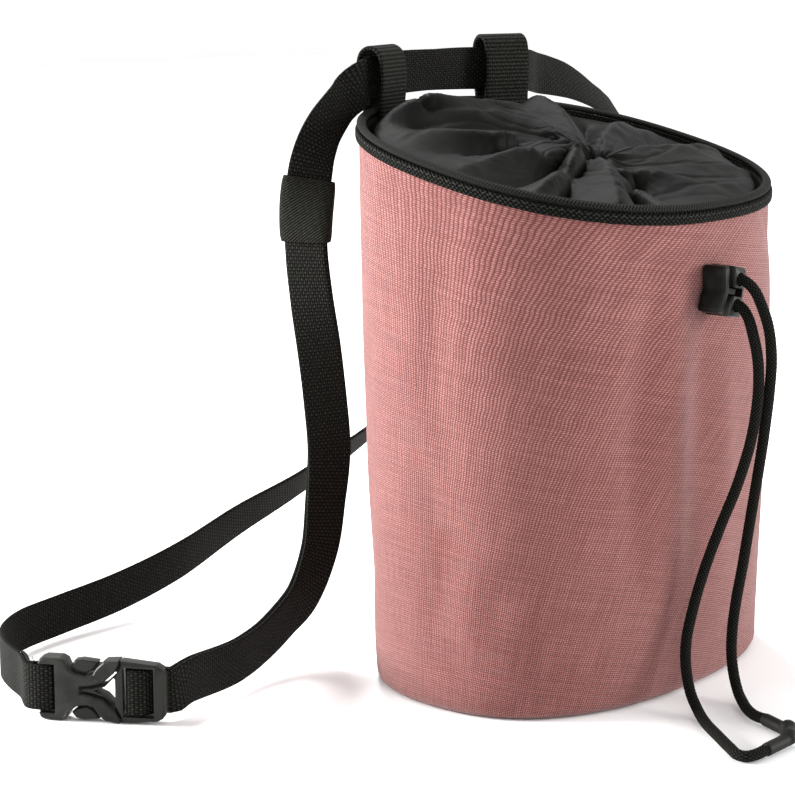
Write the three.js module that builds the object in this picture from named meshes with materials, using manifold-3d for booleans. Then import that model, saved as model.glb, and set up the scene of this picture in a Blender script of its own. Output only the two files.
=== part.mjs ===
// A climbing chalk bag with its waist belt, in millimetres.
// The origin is the middle of the base on the floor. +Z is up, -Y is the front, where the cord lock sits,
// and +Y is the wearer's side, where the belt loops sit.
import * as THREE from 'three';
import { mergeVertices } from 'three/addons/utils/BufferGeometryUtils.js';
import Module from 'manifold-3d';

const wasm = await Module();
wasm.setup();

// The bag's body
const height = 173.1; // base to the wall's top edge, above the middle of the base
const baseHalfX = 77.0;
const baseHalfY = 52.8;
const mouthHalfX = 72.5;
const mouthHalfY = 61.2;
const mouthShiftY = 4.8; // the mouth leans towards the wearer
const rimSlope = 0.224; // rise of the rim for each millimetre towards the wearer
const roundness = 2.35; // exponent of the oval section: 2 is an ellipse
const wallBulge = 1.5;
const wallThickness = 1.5;
const baseRoll = 3.4; // radius of the turned edge at the foot
const baseLip = 2.6; // how far the turned edge runs in under the base
const baseThickness = 1.5;

// The rim's binding and its round edge
const tapeThickness = 0.8;
const bindingDrop = 2.2; // outside, below the wall's top edge
const bindingInnerDrop = 3.5;
const pipingRadius = 1.1;
const gap = 0.3; // between pieces that touch

// The closure collar
const collarThickness = 1.0;
const collarHem = 6.0; // depth of its seam inside the rim
const eyeRadius = 3.2; // what the drawn cord leaves open
const eyeX = 4.0;
const eyeY = -4.0;
const pleatTurn = 0.9; // radians that the pleats swirl between rim and eye

// The webbing of the belt and of the belt loops
const beltWidth = 15.0;
const beltThickness = 1.2;
const loopWidth = 18.0;
const loopThickness = 1.2;
// The loops' places along X, the height of each over the wall's top edge, the belt's clearance over the rim
// in it, and the belt's climb from the middle of the loop to its edge.
const loopRows = [
  { name: 'belt_loop_left', x: -27.0, rise: 23.6, clear: 1.4, climb: 0.9 },
  { name: 'belt_loop_right', x: 36.0, rise: 26.0, clear: 2.2, climb: -0.6 },
];
const loopReach = 14.0; // how far the outer leg runs down the wall
const keeperLength = 21.0;
const keeperThickness = 1.0;
const keeperPlace = 0.903; // height of the keeper's middle on the near strand, as a share of the bag's height
const flapLength = 13.0; // webbing sewn back behind the buckle's fixed bar

// The side-release buckle
const buckleThickness = 6.4;
const buckleHeight = 20.8;
const barWidth = 2.0;
const barThickness = 2.4;
const slotGap = 0.7; // between the webbing's edge and the frame that it passes through
const earThickness = 4.2;
const plugThickness = 5.0;
const prongThickness = 2.2;

// The cord lock on the front
const lockDepth = 9.0;
const lockHeight = 16.2;
const lockBodyWidth = 6.0;
const lockCapWidth = 3.3;
const lockGap = 2.3; // open travel between cap and body
const lockTravel = 1.5;
const lockBend = 0.21; // slope of the chevron faces
const lockLean = -12.0; // degrees
const lockX = -6.5;
const lockZ = 135.3;
const cordHoleSpacing = 8.4;

// The draw cord
const cordDiameter = 3.7;
const cordHoleClearance = 0.4;
const sleeveRadius = 2.2;
const knobRadius = 2.9;

// Soft dents and swells of the wall: where they lie, how far they spread, and how deep they are.
// Degrees run from +X through the wearer's side; up and tall are shares of the height.
const wallDents = [
  { degrees: -34, up: 0.9, wide: 16, tall: 0.05, depth: 1.6 },
  { degrees: -34, up: 0.7, wide: 22, tall: 0.15, depth: -2.0 },
  { degrees: -18, up: 0.22, wide: 26, tall: 0.18, depth: 1.8 },
  { degrees: -92, up: 0.8, wide: 9, tall: 0.07, depth: 1.0 },
  { degrees: -118, up: 0.5, wide: 9, tall: 0.24, depth: 1.1 },
  { degrees: -150, up: 0.3, wide: 14, tall: 0.2, depth: -0.8 },
  { degrees: -165, up: 0.1, wide: 22, tall: 0.035, depth: 0.9 },
  { degrees: 150, up: 0.55, wide: 16, tall: 0.25, depth: 0.9 },
];

// Rings of the collar from the rim to the eye: their place between the two, and how far they stand
// above the rim's plane, as shares of the mouth's half width.
const collarRings = [
  { inward: 0.0, rise: -0.083, pleat: 0.0, lean: 0.0 },
  { inward: 0.012, rise: -0.02, pleat: 0.0, lean: 0.0 },
  { inward: 0.05, rise: 0.035, pleat: 0.008, lean: 0.05 },
  { inward: 0.13, rise: 0.07, pleat: 0.02, lean: 0.55 },
  { inward: 0.25, rise: 0.075, pleat: 0.034, lean: 1.0 },
  { inward: 0.38, rise: 0.06, pleat: 0.045, lean: 1.0 },
  { inward: 0.52, rise: 0.04, pleat: 0.05, lean: 0.8 },
  { inward: 0.66, rise: 0.02, pleat: 0.05, lean: 0.5 },
  { inward: 0.79, rise: 0.0, pleat: 0.04, lean: 0.2 },
  { inward: 0.9, rise: -0.03, pleat: 0.026, lean: 0.0 },
  { inward: 1.0, rise: -0.1, pleat: 0.01, lean: 0.0 },
];

// The collar's pleats: how many go round, their height as a share of the rings' pleat, and where they start.
const collarPleats = [
  { around: 5, share: 0.55, start: 0.6 },
  { around: 9, share: 0.6, start: 2.1 },
  { around: 14, share: 0.3, start: 0.2 },
];

// Puffs of the collar: direction in degrees, spread in degrees, and height as a share of the mouth's half width.
const collarPuffs = [
  { degrees: 128, wide: 26, rise: 0.13 },
  { degrees: 62, wide: 20, rise: 0.06 },
  { degrees: 8, wide: 30, rise: 0.03 },
];

// The belt's route. across is a share of mouthHalfX, back a share of mouthHalfY behind the rim's back edge,
// and up a share of the height above a strap that stands on the floor. turn and rise aim the strap's upper edge.
const nearStrand = [
  { across: -1.857, back: -0.178, up: 0.0225, turn: 190, rise: 88 },
  { across: -1.8, back: -0.17, up: 0.025, turn: 190, rise: 88 },
  { across: -1.739, back: -0.155, up: 0.0235, turn: 190, rise: 88 },
  { across: -1.643, back: -0.131, up: 0.02, turn: 195, rise: 88 },
  { across: -1.538, back: -0.106, up: 0.0168, turn: 200, rise: 87 },
  { across: -1.411, back: -0.0735, up: 0.0156, turn: 205, rise: 84 },
  { across: -1.19, back: -0.013, up: 0.026, turn: 207, rise: 76 },
  { across: -1.02, back: 0.0, up: 0.058, turn: 194, rise: 62 },
  { across: -0.906, back: 0.0, up: 0.09, turn: 178, rise: 42 },
  { across: -0.785, back: 0.0, up: 0.175, turn: 169, rise: 20 },
  { across: -0.741, back: 0.0, up: 0.274, turn: 160, rise: 8 },
  { across: -0.717, back: 0.0, up: 0.375, turn: 145, rise: 0 },
  { across: -0.745, back: 0.0, up: 0.478, turn: 135, rise: -4 },
  { across: -0.786, back: 0.0, up: 0.58, turn: 128, rise: -6 },
  { across: -0.841, back: 0.0, up: 0.685, turn: 112, rise: -4 },
  { across: -0.876, back: 0.0, up: 0.783, turn: 106, rise: -2 },
  { across: -0.875, back: 0.0, up: 0.85, turn: 112, rise: 0 },
  { across: -0.848, back: 0.0, up: 0.916, turn: 128, rise: 8 },
  { across: -0.814, back: 0.0, up: 0.965, turn: 148, rise: 20 },
  { across: -0.752, back: 0.0, up: 1.008, turn: 160, rise: 35 },
  { across: -0.665, back: 0.0, up: 1.043, turn: 171, rise: 48 },
  { across: -0.6, back: -0.005, up: 1.066, turn: 180, rise: 66 },
];
const farStrand = [
  { across: 0.92, back: 0.01, up: 1.088, turn: 30, rise: 84 },
  { across: 1.05, back: 0.016, up: 1.079, turn: 58, rise: 71 },
  { across: 1.184, back: 0.016, up: 1.067, turn: 58, rise: 61 },
  { across: 1.32, back: 0.016, up: 1.048, turn: 60, rise: 52 },
  { across: 1.459, back: 0.02, up: 1.024, turn: 64, rise: 45 },
  { across: 1.6, back: 0.035, up: 1.002, turn: 66, rise: 38 },
  { across: 1.726, back: 0.07, up: 0.973, turn: 64, rise: 33 },
  { across: 1.85, back: 0.22, up: 0.885, turn: 56, rise: 26 },
  { across: 1.87, back: 0.48, up: 0.73, turn: 48, rise: 18 },
  { across: 1.72, back: 0.74, up: 0.57, turn: 42, rise: 8 },
  { across: 1.434, back: 0.948, up: 0.43, turn: 40, rise: -6 },
  { across: 1.076, back: 1.11, up: 0.326, turn: 40, rise: -20 },
  { across: 0.69, back: 1.22, up: 0.235, turn: 40, rise: -33 },
  { across: 0.23, back: 1.26, up: 0.165, turn: 40, rise: -45 },
  { across: -0.13, back: 1.38, up: 0.104, turn: 40, rise: -62 },
  { across: -0.59, back: 1.38, up: 0.049, turn: 40, rise: -80 },
  { across: -1.0, back: 1.39, up: 0.018, turn: 40, rise: -88 },
  { across: -1.4, back: 1.39, up: 0.005, turn: 40, rise: -90 },
  { across: -1.68, back: 1.34, up: 0.004, turn: 40, rise: -90 },
  { across: -1.84, back: 1.25, up: 0.004, turn: 40, rise: -90 },
  { across: -1.959, back: 1.136, up: 0.005, turn: 40, rise: -90 },
  { across: -2.055, back: 0.989, up: 0.008, turn: 40, rise: -90 },
  { across: -2.131, back: 0.824, up: 0.011, turn: 40, rise: -90 },
  { across: -2.197, back: 0.649, up: 0.014, turn: 40, rise: -90 },
];
const buckleAcross = -2.1;
const buckleBack = 0.12;
const buckleYaw = -60.0; // degrees from +X

// The two strands of the draw cord, from the lock's holes to the moulded end on the floor.
const upperStrand = [
  [-1.9, -58.5, 138.6],
  [-1.9, -62.0, 138.6],
  [-1.9, -66.5, 138.5],
  [-2.4, -71.0, 136.0],
  [-2.3, -74.2, 130.6],
  [-2.1, -76.8, 123.6],
  [-2.3, -78.2, 114.0],
  [-2.5, -77.9, 103.7],
  [-2.1, -76.6, 92.8],
  [-0.2, -74.0, 80.6],
  [1.3, -71.3, 68.0],
  [1.3, -69.5, 55.8],
  [0.0, -68.5, 44.0],
  [-2.0, -67.7, 32.8],
  [-3.1, -67.2, 22.7],
  [-3.1, -67.2, 14.0],
  [-3.7, -68.7, 7.6],
  [-6.3, -72.0, 3.4],
  [-11.2, -76.9, 2.1],
  [-16.8, -82.3, 2.1],
  [-20.0, -86.9, 2.1],
  [-20.9, -90.6, 2.1],
];
const lowerStrand = [
  [-3.6, -58.5, 130.4],
  [-3.6, -62.0, 130.4],
  [-3.62, -66.6, 130.35],
  [-4.7, -70.4, 127.4],
  [-5.6, -73.4, 121.1],
  [-5.8, -75.2, 114.6],
  [-6.4, -76.2, 106.5],
  [-6.8, -75.8, 97.0],
  [-7.4, -74.1, 86.0],
  [-8.7, -70.6, 72.5],
  [-10.7, -66.2, 59.0],
  [-13.0, -61.8, 43.5],
  [-16.0, -59.9, 31.0],
  [-18.8, -59.6, 21.4],
  [-20.6, -60.7, 14.0],
  [-23.6, -64.6, 6.2],
  [-28.6, -71.0, 2.4],
  [-36.5, -79.0, 2.1],
  [-43.9, -88.1, 2.1],
  [-50.7, -96.7, 2.1],
  [-54.2, -101.6, 2.1],
  [-54.0, -104.4, 2.1],
  [-51.0, -105.7, 2.1],
  [-46.0, -106.2, 2.2],
];
const knobPlace = [-29.0, -104.4, 2.95];

const finish = {
  canvas: new THREE.MeshStandardMaterial({ color: 0xc48a87, roughness: 0.85, metalness: 0 }),
  webbing: new THREE.MeshStandardMaterial({ color: 0x23241f, roughness: 0.8, metalness: 0 }),
  binding: new THREE.MeshStandardMaterial({ color: 0x1f201d, roughness: 0.8, metalness: 0 }),
  nylon: new THREE.MeshStandardMaterial({ color: 0x3e3e3a, roughness: 0.55, metalness: 0 }),
  plastic: new THREE.MeshStandardMaterial({ color: 0x3a3a36, roughness: 0.5, metalness: 0 }),
  cord: new THREE.MeshStandardMaterial({ color: 0x171815, roughness: 0.85, metalness: 0 }),
};

const part = new THREE.Group();
part.name = 'chalk_bag';

const toRadians = THREE.MathUtils.degToRad;
const wallColumns = 60;
const backEdge = mouthShiftY + mouthHalfY;

// A smooth hill of height 1 over the middle of its spread.
function hill(distance, spread) {
  return Math.exp(-((distance / spread) ** 2));
}

// The shortest turn from one angle to another, in degrees.
function turnBetween(degrees, other) {
  return ((degrees - other + 540) % 360) - 180;
}

function wallDent(angle, level) {
  const degrees = THREE.MathUtils.radToDeg(angle);
  let depth = 0;
  for (const dent of wallDents) {
    depth += dent.depth * hill(turnBetween(degrees, dent.degrees), dent.wide) * hill(level - dent.up, dent.tall);
  }
  return depth;
}

// A point of the wall: level is 0 at the floor and 1 at the top edge, inset runs inwards from the outer face.
function wallPoint(angle, level, inset) {
  const belly = wallBulge * 4 * level * (1 - level);
  const dent = wallDent(angle, level) * Math.min(1, level / 0.05) * Math.min(1, (1 - level) / 0.05);
  const halfX = THREE.MathUtils.lerp(baseHalfX, mouthHalfX, level) + belly - inset - dent;
  const halfY = THREE.MathUtils.lerp(baseHalfY, mouthHalfY, level) + belly - inset - dent;
  const cosine = Math.cos(angle);
  const sine = Math.sin(angle);
  const reach = (Math.abs(cosine) ** roundness + Math.abs(sine) ** roundness) ** (-1 / roundness);
  const y = halfY * reach * sine;
  return new THREE.Vector3(halfX * reach * cosine, y + mouthShiftY * level, level * (height + rimSlope * y));
}

// A point by the rim: out from the wall's outer face, and up from its top edge.
function rimPoint(angle, out, up) {
  const point = wallPoint(angle, 1, -out);
  point.z += up;
  return point;
}

// Turns a closed mesh so that its faces point out.
function facingOut(positions, triangles) {
  let volume = 0;
  const [a, b, c] = [new THREE.Vector3(), new THREE.Vector3(), new THREE.Vector3()];
  for (const [i, j, k] of triangles) {
    a.fromArray(positions, 3 * i);
    b.fromArray(positions, 3 * j);
    c.fromArray(positions, 3 * k);
    volume += a.dot(b.cross(c));
  }
  const index = volume > 0 ? triangles : triangles.map(([i, j, k]) => [i, k, j]);
  const geometry = new THREE.BufferGeometry();
  geometry.setAttribute('position', new THREE.Float32BufferAttribute(positions, 3));
  geometry.setIndex(index.flat());
  geometry.computeVertexNormals();
  return geometry;
}

// A ring whose section closes on itself: rows go round the ring, and each row holds its section's points.
function ringGeometry(rows) {
  const positions = rows.flat().flatMap((point) => point.toArray());
  const around = rows.length;
  const along = rows[0].length;
  const triangles = [];
  for (let i = 0; i < around; i++) {
    const next = (i + 1) % around;
    for (let j = 0; j < along; j++) {
      const step = (j + 1) % along;
      triangles.push([i * along + j, next * along + j, next * along + step]);
      triangles.push([i * along + j, next * along + step, i * along + step]);
    }
  }
  return facingOut(positions, triangles);
}

// A bar with flat ends: rows go along the bar, and each row holds the corners of its convex section.
function barGeometry(rows) {
  const positions = rows.flat().flatMap((point) => point.toArray());
  const corners = rows[0].length;
  const last = (rows.length - 1) * corners;
  const triangles = [];
  for (let i = 0; i < rows.length - 1; i++) {
    for (let j = 0; j < corners; j++) {
      const [here, there] = [i * corners, (i + 1) * corners];
      const step = (j + 1) % corners;
      triangles.push([here + j, there + j, there + step], [here + j, there + step, here + step]);
    }
  }
  for (let j = 1; j < corners - 1; j++) {
    triangles.push([0, j, j + 1], [last, last + j + 1, last + j]);
  }
  return facingOut(positions, triangles);
}

function solidOf(geometry) {
  const bare = geometry.clone();
  bare.deleteAttribute('normal');
  bare.deleteAttribute('uv');
  const merged = mergeVertices(bare, 1e-4);
  const mesh = new wasm.Mesh({
    numProp: 3,
    vertProperties: new Float32Array(merged.attributes.position.array),
    triVerts: new Uint32Array(merged.index.array),
  });
  return new wasm.Manifold(mesh);
}

function geometryOf(solid) {
  const mesh = solid.getMesh();
  const geometry = new THREE.BufferGeometry();
  geometry.setAttribute('position', new THREE.Float32BufferAttribute(mesh.vertProperties, 3));
  geometry.setIndex(new THREE.BufferAttribute(mesh.triVerts, 1));
  geometry.computeVertexNormals();
  return geometry;
}

function addPiece(name, geometry, material, parent = part) {
  const mesh = new THREE.Mesh(geometry, material);
  mesh.name = name;
  parent.add(mesh);
  return mesh;
}

// The angles of the columns that go round the bag.
function columnAngles() {
  return Array.from({ length: wallColumns }, (_, i) => (i / wallColumns) * 2 * Math.PI);
}

// Points of the wall in the turned edge at the foot: a quarter circle that starts under the base.
function footPoint(angle, turned, depth) {
  const radius = baseRoll - depth;
  const inset = baseRoll - radius * Math.sin(turned);
  const level = (baseRoll - radius * Math.cos(turned)) / wallPoint(angle, 1, 0).z;
  return wallPoint(angle, level, inset);
}

function underBasePoint(angle, depth) {
  const point = wallPoint(angle, 0, baseRoll + baseLip);
  point.z = depth;
  return point;
}

function sideWall() {
  const levels = [0.08, 0.2, 0.34, 0.48, 0.62, 0.74, 0.84, 0.93, 1];
  const insideLevels = [1, 0.74, 0.34];
  const quarter = [0, 0.3, 0.65, 1].map((share) => (share * Math.PI) / 2);
  const rows = columnAngles().map((angle) => [
    underBasePoint(angle, 0),
    ...quarter.map((turned) => footPoint(angle, turned, 0)),
    ...levels.map((level) => wallPoint(angle, level, 0)),
    ...insideLevels.map((level) => wallPoint(angle, level, wallThickness)),
    footPoint(angle, Math.PI / 2, wallThickness),
    footPoint(angle, 0, wallThickness),
    underBasePoint(angle, wallThickness),
  ]);
  addPiece('side_wall', ringGeometry(rows), finish.canvas);
}

function basePanel() {
  const inset = baseRoll + baseLip + gap;
  const outline = columnAngles().map((angle) => wallPoint(angle, 0, inset));
  const shape = new THREE.Shape(outline.map((point) => new THREE.Vector2(point.x, point.y)));
  const geometry = new THREE.ExtrudeGeometry(shape, { depth: baseThickness, bevelEnabled: false });
  addPiece('base_panel', geometry, finish.canvas);
}

function rimBinding() {
  const outerFace = gap + tapeThickness;
  const innerFace = -wallThickness - gap - tapeThickness;
  const section = [
    [gap, -bindingDrop],
    [outerFace, -bindingDrop],
    [outerFace, gap + tapeThickness],
    [innerFace, gap + tapeThickness],
    [innerFace, -bindingInnerDrop],
    [-wallThickness - gap, -bindingInnerDrop],
    [-wallThickness - gap, gap],
    [gap, gap],
  ];
  const rows = columnAngles().map((angle) => section.map(([out, up]) => rimPoint(angle, out, up)));
  addPiece('rim_band', ringGeometry(rows), finish.binding);
}

const pipingTop = gap + tapeThickness + gap + 2 * pipingRadius;

function rimPiping() {
  const sides = 6;
  const middle = -wallThickness / 2;
  const rows = columnAngles().map((angle) =>
    Array.from({ length: sides }, (_, j) => {
      const turn = (j / sides) * 2 * Math.PI;
      const out = middle + pipingRadius * 1.35 * Math.cos(turn);
      return rimPoint(angle, out, pipingTop - pipingRadius + pipingRadius * Math.sin(turn));
    }),
  );
  addPiece('rim_piping', ringGeometry(rows), finish.binding);
}

// The belt loops stand square to the rim.

function loopAngle(x) {
  const share = Math.abs(x) / mouthHalfX;
  const back = (1 - share ** roundness) ** (1 / roundness);
  return Math.atan2(back, share * Math.sign(x));
}

// The frame of a loop: its foot on the wall's top edge, the way out from the wall and the way along the rim.
function loopFrame(x) {
  const angle = loopAngle(x);
  const foot = rimPoint(angle, 0, 0);
  const along = rimPoint(angle - 0.05, 0, 0).sub(rimPoint(angle + 0.05, 0, 0)).setZ(0).normalize();
  const out = new THREE.Vector3(-along.y, along.x, 0);
  return { foot, along, out };
}

// How far the rim curves away from a straight loop over the loop's width.
function rimSagitta(x) {
  const { foot, along, out } = loopFrame(x);
  let sagitta = 0;
  for (let degrees = 0; degrees < 180; degrees++) {
    const offset = rimPoint(toRadians(degrees), 0, 0).sub(foot).setZ(0);
    if (offset.length() < loopWidth / 2 + 1) {
      sagitta = Math.max(sagitta, -offset.dot(out), offset.dot(out));
    }
  }
  return sagitta;
}

function beltLoop({ name, x, rise }) {
  const { foot, along, out } = loopFrame(x);
  const inside = -wallThickness - gap - tapeThickness - gap - loopThickness / 2 - rimSagitta(x);
  const outside = gap + tapeThickness + gap + loopThickness / 2;
  const onWall = gap + loopThickness / 2;
  const top = rise - loopThickness / 2;
  const bow = 2.8;
  const curve = new THREE.CatmullRomCurve3(
    [
      [inside, -collarHem - 2],
      [inside, -1],
      [inside, pipingTop + 1],
      [inside - 0.5, 0.42 * top],
      [inside - 0.2, 0.74 * top],
      [inside + 1.2, 0.93 * top],
      [(inside + outside + bow) / 2, top],
      [outside + bow - 1.4, 0.93 * top],
      [outside + bow, 0.72 * top],
      [outside + bow - 0.8, 0.4 * top],
      [outside + 0.5, 0.16 * top],
      [outside, 0],
      [outside, -bindingDrop],
      [onWall + 0.3, -bindingDrop - 3.4],
      [onWall, -0.65 * loopReach],
      [onWall, -loopReach],
    ].map(([away, up]) => foot.clone().addScaledVector(out, away).add(new THREE.Vector3(0, 0, up))),
    false,
    'centripetal',
  );
  const steps = 30;
  const rows = Array.from({ length: steps + 1 }, (_, i) => {
    const centre = curve.getPointAt(i / steps);
    const face = new THREE.Vector3().crossVectors(curve.getTangentAt(i / steps), along).normalize();
    return strapCorners(centre, along, face, loopWidth, loopThickness);
  });
  addPiece(name, barGeometry(rows), finish.webbing);
}

function strapCorners(centre, across, face, width, thickness) {
  return [
    [0.5, 0.5],
    [-0.5, 0.5],
    [-0.5, -0.5],
    [0.5, -0.5],
  ].map(([a, b]) => centre.clone().addScaledVector(across, a * width).addScaledVector(face, b * thickness));
}

// The collar
function collarInset(angle) {
  const inner = wallThickness + gap + tapeThickness + gap;
  const degrees = THREE.MathUtils.radToDeg(angle);
  let inset = inner;
  for (const { x } of loopRows) {
    const room = loopThickness + gap + rimSagitta(x);
    const away = Math.abs(turnBetween(degrees, THREE.MathUtils.radToDeg(loopAngle(x))));
    inset += room * (1 - THREE.MathUtils.smoothstep(away, 11, 17));
  }
  return inset;
}

function collarPoint(angle, ring) {
  const edge = rimPoint(angle, -collarInset(angle), 0);
  const swirl = angle + pleatTurn * ring.inward ** 1.3;
  const degrees = THREE.MathUtils.radToDeg(angle);
  const x = THREE.MathUtils.lerp(edge.x, eyeX + eyeRadius * Math.cos(angle), ring.inward);
  const y = THREE.MathUtils.lerp(edge.y, eyeY + eyeRadius * Math.sin(angle), ring.inward);
  let pleat = 0;
  for (const fold of collarPleats) {
    pleat += fold.share * Math.sin(fold.around * swirl + fold.start);
  }
  let puff = 0;
  for (const swell of collarPuffs) {
    puff += swell.rise * hill(turnBetween(degrees, swell.degrees), swell.wide);
  }
  const rise = ring.rise + ring.pleat * pleat + ring.lean * puff;
  return new THREE.Vector3(x, y, height + rimSlope * (y - mouthShiftY) + rise * mouthHalfX);
}

function closureCollar() {
  const rows = columnAngles().map((angle) => {
    const upper = collarRings.map((ring) => collarPoint(angle, ring));
    const inwards = upper[0].clone().setZ(0).normalize();
    const lower = upper.map((point, i) => {
      const steep = i < 2 ? 1 : 0;
      return point
        .clone()
        .addScaledVector(inwards, -steep * collarThickness)
        .add(new THREE.Vector3(0, 0, -(1 - steep) * collarThickness));
    });
    return [...upper, ...lower.toReversed()];
  });
  addPiece('closure_collar', ringGeometry(rows), finish.nylon);
}

// The buckle's own frame: its length runs to the right seen from the front, its face looks forward, up is +Z.
const buckleTurn = toRadians(buckleYaw);
const buckleLength = new THREE.Vector3(Math.cos(buckleTurn), Math.sin(buckleTurn), 0);
const buckleFace = new THREE.Vector3(Math.sin(buckleTurn), -Math.cos(buckleTurn), 0);
const buckleMiddle = new THREE.Vector3(
  buckleAcross * mouthHalfX,
  backEdge + buckleBack * mouthHalfY,
  buckleHeight / 2,
);

function atBuckle(along, forward) {
  return buckleMiddle.clone().addScaledVector(buckleLength, along).addScaledVector(buckleFace, forward);
}

const upwards = new THREE.Vector3(0, 0, 1);
const socketEnd = -21.5; // left end of the fixed bar, from the buckle's middle
const plugEnd = 20.7;
const ladderBar = 10.8; // middle of the bar that the webbing doubles over
const layer = beltThickness + gap; // from one layer of webbing to the next
const besideBar = barThickness / 2 + gap + beltThickness / 2;
const routeStep = 7.0;

// A place on the belt and the way to its upper edge.
function strapPlace(centre, across) {
  return { centre, across };
}

function routePlace({ across, back, up, turn, rise }) {
  const [t, r] = [toRadians(turn), toRadians(rise)];
  return strapPlace(
    new THREE.Vector3(across * mouthHalfX, backEdge + back * mouthHalfY, beltWidth / 2 + up * height),
    new THREE.Vector3(Math.cos(r) * Math.cos(t), Math.cos(r) * Math.sin(t), Math.sin(r)),
  );
}

// Where the belt passes through a loop, midway between its legs, and at both of the loop's edges.
function placesInLoop({ x, clear, climb }) {
  const { foot, along, out } = loopFrame(x);
  const middle = foot.clone().addScaledVector(out, 1.2);
  return [-1, 0, 1].map((side) => {
    const centre = middle.clone().addScaledVector(along, side * (loopWidth / 2 + 2));
    centre.z += pipingTop + clear + beltWidth / 2 + side * climb;
    return strapPlace(centre, upwards);
  });
}

// Even steps along a smooth curve through the given places.
function smoothPlaces(places, step) {
  const curve = new THREE.CatmullRomCurve3(
    places.map((place) => place.centre),
    false,
    'centripetal',
  );
  curve.arcLengthDivisions = 1200;
  const count = Math.round(curve.getLength() / step);
  return Array.from({ length: count + 1 }, (_, i) => {
    const along = curve.getUtoTmapping(i / count) * (places.length - 1);
    const before = Math.min(Math.floor(along), places.length - 2);
    const across = places[before].across.clone().lerp(places[before + 1].across, along - before);
    return strapPlace(curve.getPointAt(i / count), across.normalize());
  });
}

// Gives each place the way along the belt and the way out of its face.
function withFaces(places) {
  return places.map((place, i) => {
    const before = places[Math.max(i - 1, 0)].centre;
    const after = places[Math.min(i + 1, places.length - 1)].centre;
    const along = after.clone().sub(before).normalize();
    const across = place.across.clone().addScaledVector(along, -place.across.dot(along)).normalize();
    const face = new THREE.Vector3().crossVectors(along, across).normalize();
    return { centre: place.centre, along, across, face };
  });
}

function beltRoute() {
  const [leftLoop, rightLoop] = loopRows.map(placesInLoop);
  const middle = strapPlace(
    new THREE.Vector3(4.5, backEdge + 1.3, (leftLoop[2].centre.z + rightLoop[0].centre.z) / 2 + 0.3),
    new THREE.Vector3(0, -0.25, 1).normalize(),
  );
  const downwards = upwards.clone().negate();
  const route = smoothPlaces(
    [
      strapPlace(atBuckle(plugEnd + 1, -besideBar), upwards),
      strapPlace(atBuckle(plugEnd + 2.2, -besideBar - 1.3), upwards),
      ...nearStrand.map(routePlace),
      ...leftLoop,
      middle,
      ...rightLoop,
      ...farStrand.map(routePlace),
      strapPlace(atBuckle(socketEnd - 4, besideBar - 1.2), downwards),
      strapPlace(atBuckle(socketEnd - 1, besideBar), downwards),
    ],
    routeStep,
  );
  return withFaces(route);
}

const route = beltRoute();
const keeperMiddle = route.findIndex((place) => place.centre.z > keeperPlace * height);

// The place on the near strand at a height above the floor.
function placeAtHeight(z) {
  const after = route.findIndex((place) => place.centre.z > z);
  const [low, high] = [route[after - 1], route[after]];
  const share = (z - low.centre.z) / (high.centre.z - low.centre.z);
  return {
    centre: low.centre.clone().lerp(high.centre, share),
    across: low.across.clone().lerp(high.across, share).normalize(),
    face: low.face.clone().lerp(high.face, share).normalize(),
  };
}

// The places of a second layer that lies behind part of the route.
function layerBehind(places, offset) {
  return places.map((place) => strapPlace(place.centre.clone().addScaledVector(place.face, offset), place.across));
}

function waistBelt() {
  const overLadder = smoothPlaces(
    [
      [plugEnd + 0.5, -besideBar - layer],
      [ladderBar + 5.5, -besideBar - layer + 0.1],
      [ladderBar - 1, -besideBar - layer + 0.2],
      [ladderBar - 2.6, -besideBar - 0.6],
      [ladderBar - 2.9, 0],
      [ladderBar - 2.1, besideBar - 0.3],
      [ladderBar - 0.4, besideBar + 0.5],
      [ladderBar + 2.2, besideBar - 0.1],
      [ladderBar + 3.9, 0.4],
      [ladderBar + 5.4, -1.1],
      [ladderBar + 7.4, -besideBar],
      [plugEnd + 0.2, -besideBar],
    ].map(([along, forward]) => strapPlace(atBuckle(along, forward), upwards)),
    1.6,
  );
  const downwards = upwards.clone().negate();
  const roundBar = smoothPlaces(
    [
      [socketEnd - 0.2, besideBar],
      [socketEnd + barWidth - 0.2, besideBar],
      [socketEnd + barWidth + 0.95, besideBar - 0.7],
      [socketEnd + barWidth + 1.3, 0],
      [socketEnd + barWidth + 0.95, -besideBar + 0.7],
      [socketEnd + barWidth - 0.2, -besideBar],
      [socketEnd - 0.2, -besideBar],
      [socketEnd - 3, -besideBar + 0.5],
    ].map(([along, forward]) => strapPlace(atBuckle(along, forward), downwards)),
    1.0,
  );
  const tail = layerBehind(route.slice(1, keeperMiddle + 1).toReversed(), -layer);
  const flapSteps = Math.round(flapLength / routeStep);
  const flap = layerBehind(route.slice(-2 - flapSteps, -1).toReversed(), layer);
  const places = withFaces([...tail, ...overLadder, ...route, ...roundBar, ...flap]);
  const rows = places.map(({ centre, across, face }) =>
    strapCorners(centre, across, face, beltWidth, beltThickness),
  );
  addPiece('waist_belt', barGeometry(rows), finish.webbing);
}

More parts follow.
